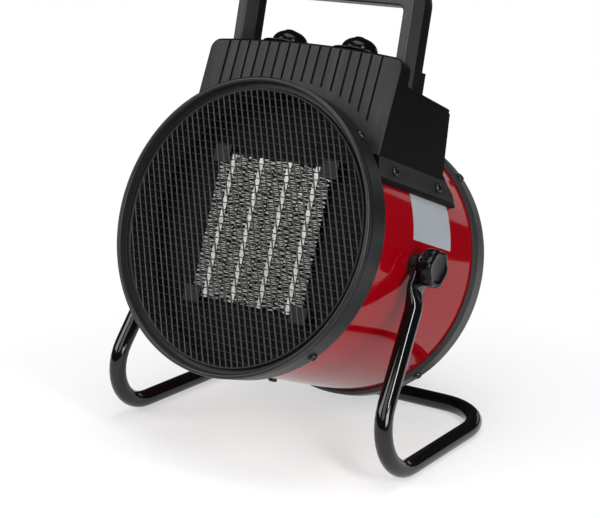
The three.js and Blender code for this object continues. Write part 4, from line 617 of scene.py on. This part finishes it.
left = right[-2::-1] * (-1, 1, 1)
tube = np.concatenate([right, left])
tube[..., 2] = np.maximum(tube[..., 2], 0)
new_piece("bent_tube", tube / 1000, tube_faces(len(tube), tube_sides), gloss_black, "stand",
          ["stand_tube"], sharp=50)

# ------------------------------------------------------------------ clamps
# A lobed knob of glossy black plastic, moulded in one with its round boss, turns on the stud at
# each side and draws the leg's eye against a plastic bush on the drum.

knob_gloss = surface("knob_plastic", (0.003, 0.003, 0.0032), 0.16, mottle=0.2, grain_scale=1200,
                     specular=0.2)
bush_black = surface("bush_plastic", (0.004, 0.004, 0.0042), 0.35)
dress(bush_black, "pivot_bush_left", "pivot_bush_right")
lobe_count, lobe_depth, boss_radius = 6, 0.11, 10.5
# The knob's profile (radius, distance from the middle). Outside of the boss, the radius is drawn in
# by lobe_depth * (1 - cos(lobe_count * angle)) / 2.
knob_stations = np.array([
    (0.0, 104.0), (10.0, 104.0), (10.0, 105.1), (12.6, 105.2), (13.3, 105.6), (13.5, 106.3),
    (13.5, 111.6), (13.2, 112.7), (12.4, 113.5), (11.2, 113.7), (9.0, 113.7), (8.4, 113.3),
    (7.8, 113.2), (0.0, 113.0)])
angle = np.linspace(0, 2 * math.pi, 72, endpoint=False)
radius, reach = (column[:, None] for column in knob_stations.T)
lobes = 1 - lobe_depth * (1 - np.cos(lobe_count * angle))[None] / 2 * (radius > boss_radius)
for side, hand in (("right", 1), ("left", -1)):
    knob = np.stack([hand * reach + 0 * angle, pivot_back + radius * lobes * np.cos(angle),
                     radius * lobes * np.sin(angle)], -1)
    new_piece(f"clamp_grip_{side}", in_drum(knob), grid_faces(*knob.shape[:2]), knob_gloss,
              f"clamp_{side}", [f"clamp_knob_{side}"])

# ------------------------------------------------------------------ control box
# Three plastic mouldings with a fine spark texture and softly rounded edges: the black box with its
# saddle, which is screwed to the drum, the ribbed front cover, grey-black on its front, and the top
# panel with the hump for the knobs. The saddle's flanks take a lighter copy of the box plastic, as
# painted light, and the cover's ends and top the blacker box plastic, as painted shade.

cover_plastic = surface("cover_plastic", (0.02, 0.0205, 0.0215), 0.5, mottle=1.4,
                        grain_scale=2200, grain_depth=0.00008, specular=0.22,
                        stretch=(12, 0.5, 0.5))
box_plastic = surface("box_plastic", (0.004, 0.004, 0.0043), 0.42, mottle=0.25,
                      grain_scale=2200, grain_depth=0.00008, specular=0.04)
saddle_plastic = surface("saddle_plastic", (0.018, 0.018, 0.0185), 0.42, mottle=0.5,
                         grain_scale=2200, grain_depth=0.00008, specular=0.15,
                         stretch=(4, 4, 4))


def softened(name, node_name, look, width, sharp=30):
    """A copy of a CAD piece of the heater with its loose faces joined, its flat faces merged and
    its edges sharper than so many degrees rounded to a width in millimetres."""
    mesh = bpy.data.meshes.new(name)
    work = bmesh.new()
    work.from_mesh(frame["nodes"][node_name].data)
    bmesh.ops.remove_doubles(work, verts=work.verts, dist=2e-6)
    bmesh.ops.dissolve_limit(work, angle_limit=math.radians(0.6), verts=work.verts,
                             edges=work.edges)
    work.to_mesh(mesh)
    work.free()
    piece = finished(name, mesh, look, "heater", [node_name], sharp)
    edge = piece.modifiers.new("edge", "BEVEL")
    edge.width = width / 1000
    edge.segments = 2
    edge.limit_method = "ANGLE"
    edge.angle_limit = math.radians(sharp)
    edge.harden_normals = True
    return piece


def facing(piece, axes):
    """Each face's outward direction, as three rows of its parts along the three axes."""
    normals = np.zeros(3 * len(piece.data.polygons))
    piece.data.polygons.foreach_get("normal", normals)
    return axes @ normals.reshape(-1, 3).T


flank_across, flank_rise = 0.85, 0.12
box = softened("box_moulding", "control_box", box_plastic, 0.4)
across, _, rising = facing(box, drum_axes)
# Faces turned sideways and a little up, on the saddle's flanks, take the lighter plastic: painted
# light.
paint_faces(box, (np.abs(across) > flank_across) & (rising > flank_rise), saddle_plastic)
# The cover's ends, within 40 degrees of sideways, and its top, within 45 of upright, take the
# blacker box plastic as painted shade.
end_turn, top_turn = math.cos(math.radians(40)), math.cos(math.radians(45))
cover = softened("cover_moulding", "front_cover", cover_plastic, 0.35)
across, _, rising = facing(cover, np.eye(3))
paint_faces(cover, (np.abs(across) > end_turn) | (rising > top_turn), box_plastic)
softened("panel_moulding", "control_panel", box_plastic, 0.4)
dress(surface("gland_plastic", (0.012, 0.012, 0.0125), 0.4), "cable_gland")

# ------------------------------------------------------------------ knobs on the panel
# Two glossy black plastic knobs are pressed onto the spindles of the switch and the thermostat.
# Each is one moulding: a wide thin skirt, a domed grip and a raised pointer bar across the dome.

dome_radius, dome_foot, dome_top = 12.5, 2.4, 11.0
bar_half, bar_fade, bar_end, bar_swell, bar_lift = 1.7, 0.5, -6, 0.045, 0.55
bar_foot, bar_slope = 3, 2
# The profile (radius, rise) of the skirt, and above it the dome's, radius * cos(arc) and
# foot + height * sin(arc).
skirt = [(0, 0), (18.1, 0), (18.45, 0.15), (18.5, 0.5), (18.3, 0.8), (15.5, 1.45), (13.4, 1.9)]
arc = np.linspace(0, math.pi / 2, 14)
dome = np.stack([dome_radius * np.cos(arc),
                 dome_foot + (dome_top - dome_foot) * np.sin(arc)], -1)
radius, rise = (column[:, None] for column in np.concatenate([skirt, dome]).T)
angle = np.linspace(0, 2 * math.pi, 96, endpoint=False)[None]
x, y = radius * np.cos(angle), radius * np.sin(angle)
# The bar swells the grip near its middle line, from the foot up, and lifts it towards the top.
bar = np.clip((bar_half - np.abs(x)) / bar_fade, 0, 1)
bar = bar * np.clip((rise - bar_foot) / bar_slope, 0, 1) * (y > bar_end)
dial = np.stack([x * (1 + bar_swell * bar), y * (1 + bar_swell * bar),
                 rise + bar_lift * bar * rise / dome_top], -1)
for name, node_name, joint_name, body in (
        ("power_dial", "power_knob", "power_turn", "power_selector"),
        ("thermostat_dial", "thermostat_knob", "thermostat_turn", "thermostat_dial")):
    joint = next(j for j in frame["joints"] if j["name"] == joint_name)
    axis = np.array(joint["axis"])
    axes = np.array([[1.0, 0, 0], np.cross(axis, [1.0, 0, 0]), axis])
    new_piece(name, np.array(joint["pos_m"]) + dial @ axes / 1000, grid_faces(*dial.shape[:2]),
              knob_gloss, body, [node_name])
dress(zinc, "power_spindle", "thermostat_spindle", "thermostat_body")
dress(surface("switch_plastic", (0.7, 0.68, 0.62), 0.5), "power_switch")

# ------------------------------------------------------------------ handle
# The bow handle is two moulded plastic half shells with softened edges: a grey-black front half and
# a rear half, a step narrower, with a thicker foot on each leg. The rear half is painted far
# blacker than the front, as painted shade on the side turned away from the light.

handle_front = surface("handle_front_plastic", (0.027, 0.0275, 0.0285), 0.42, mottle=0.6,
                       grain_scale=2200, grain_depth=0.00008, specular=0.25, stretch=(8, 8, 0.5))
handle_rear = surface("handle_rear_plastic", (0.0045, 0.0045, 0.0048), 0.35, mottle=0.3,
                      specular=0.12)
softened("handle_front", "handle_front_shell", handle_front, 0.5)
softened("handle_rear", "handle_rear_shell", handle_rear, 0.5)

# ------------------------------------------------------------------ screws
# Small blackened pan head screws with a cross recess hold both rings, the saddle and the bottom of
# the drum. Each one's recess stands at its own angle.

screw_black = surface("blackened_steel", (0.008, 0.008, 0.0085), 0.2, mottle=0.3, specular=0.4)
shank_radius, slot_half, slot_from, slot_to, slot_depth = 1.6, 0.42, 0.5, 1.85, 1.0
widest_arm, arm_edge, arms, recess_turn = math.radians(38), math.radians(3), 4, 0.9
# The head's profile (radius, height over its seat), from the middle of the recess to the shank.
head_stations = np.array([
    (0.0, 1.0), (0.4, 1.0), (0.7, 2.0), (1.2, 1.98), (1.8, 1.95), (1.86, 1.94), (2.3, 1.85),
    (2.7, 1.6), (3.0, 1.25), (3.2, 0.85), (3.3, 0.4), (3.3, 0.05), (3.25, 0.0),
    (shank_radius, 0.0)])


def screw_points(length, turned):
    """A head and shank along x. Each ring has 8 points to an arm of the recess: two of them stand
    at the arm's sides, where angle = asin(half width / radius), and drop to its floor."""
    radius, height = (column[:, None] for column in head_stations.T)
    side = np.arcsin(np.clip(slot_half / np.maximum(radius, 0.1), 0, math.sin(widest_arm)))
    between = np.linspace(0, 1, 6)[None, 1:-1] * (math.pi / 2 - 2 * side - 2 * arm_edge)
    arm = np.concatenate([-side, side, side + arm_edge, side + arm_edge + between,
                          math.pi / 2 - side - arm_edge], 1)
    angle = arm[:, None, :] + np.arange(arms)[None, :, None] * math.pi / 2
    angle = angle.reshape(len(radius), -1) + turned
    in_slot = (np.arange(arm.shape[1]) < 2)[None] & (radius > slot_from) & (radius < slot_to)
    x = height - slot_depth * np.tile(in_slot, (1, arms))
    head = np.stack([x + 0 * angle, radius * np.cos(angle), radius * np.sin(angle)], -1)
    tip = head[-1:] * (0, 1, 1) - (length, 0, 0)
    return np.concatenate([head, tip, tip * (1, 0, 0)])


def outward(turn):
    """The direction (cos, 0, sin) away from the drum's centre line, turned from straight right."""
    return np.array([math.cos(turn), 0, math.sin(turn)])


# Each screw's name, the radius its head sits on, its angle round the drum, its place behind the lip
# and its length under the head.
round_screws = [("bottom_screw", 94.3, -90, 79.0, 5)] + [
    (f"{ring}_ring_screw_{place}", seat, degrees, back, length)
    for ring, seat, back, length in (("front", 99.22, 17.7, 8), ("rear", 97.3, 157.5, 6))
    for place, degrees in (("upper_right", 47), ("upper_left", 133), ("lower_left", 227),
                           ("lower_right", 313))]
screws = [(name, seat * outward(math.radians(degrees)), math.radians(degrees), back, length)
          for name, seat, degrees, back, length in round_screws]
# The saddle's four sit on its flanks, which slope by their drop over their length.
flank_x, flank_z, flank_length, flank_drop, flank_gap, flank_screw = 78, 56.0, 36, 10, 0.3, 9
flank_slope = math.asin(flank_drop / flank_length)
for place, back in (("front", 48.2), ("rear", 107.2)):
    for side, hand in (("right", 1), ("left", -1)):
        turn = flank_slope if hand > 0 else math.pi - flank_slope
        seat_x = hand * (flank_x + flank_length * (1 - math.cos(flank_slope)))
        seat = np.array([seat_x, 0, flank_z]) + flank_gap * outward(turn)
        screws.append((f"saddle_screw_{place}_{side}", seat, turn, back, flank_screw))
for number, (name, seat, turn, back, length) in enumerate(screws):
    axes = np.array([outward(turn), [0, 1, 0], np.cross(outward(turn), [0, 1, 0])])
    screw = seat + (0, back, 0) + screw_points(length, recess_turn * number) @ axes
    new_piece(name + "_head", in_drum(screw), grid_faces(*screw.shape[:2]), screw_black, "heater",
              [name], sharp=40)

# ------------------------------------------------------------------ blank label
# A plain silver-white sticker on the drum's right side, between its saddle and its clamp. It is a
# thin film that follows the drum's curve.

label_look = surface("label_paper", (0.3, 0.325, 0.35), 0.35, mottle=0.08, grain_scale=500)
label_front, label_back, label_foot, label_head = 67.6, 119, 9.8, 30.2
film_outside, film_inside, across_steps, down_steps = 94.18, 94.03, 13, 25
back = np.linspace(label_front, label_back, across_steps)[:, None]
angle = np.radians(np.linspace(label_foot, label_head, down_steps))[None]
outer = np.stack([film_outside * np.cos(angle) + 0 * back, back + 0 * angle,
                  film_outside * np.sin(angle) + 0 * back], -1)
inner = outer * (film_inside / film_outside, 1, film_inside / film_outside)
label = np.concatenate([outer, inner[:, ::-1]], 1)
new_piece("blank_label", in_drum(label), tube_faces(across_steps, 2 * down_steps), label_look,
          "heater", sharp=60)
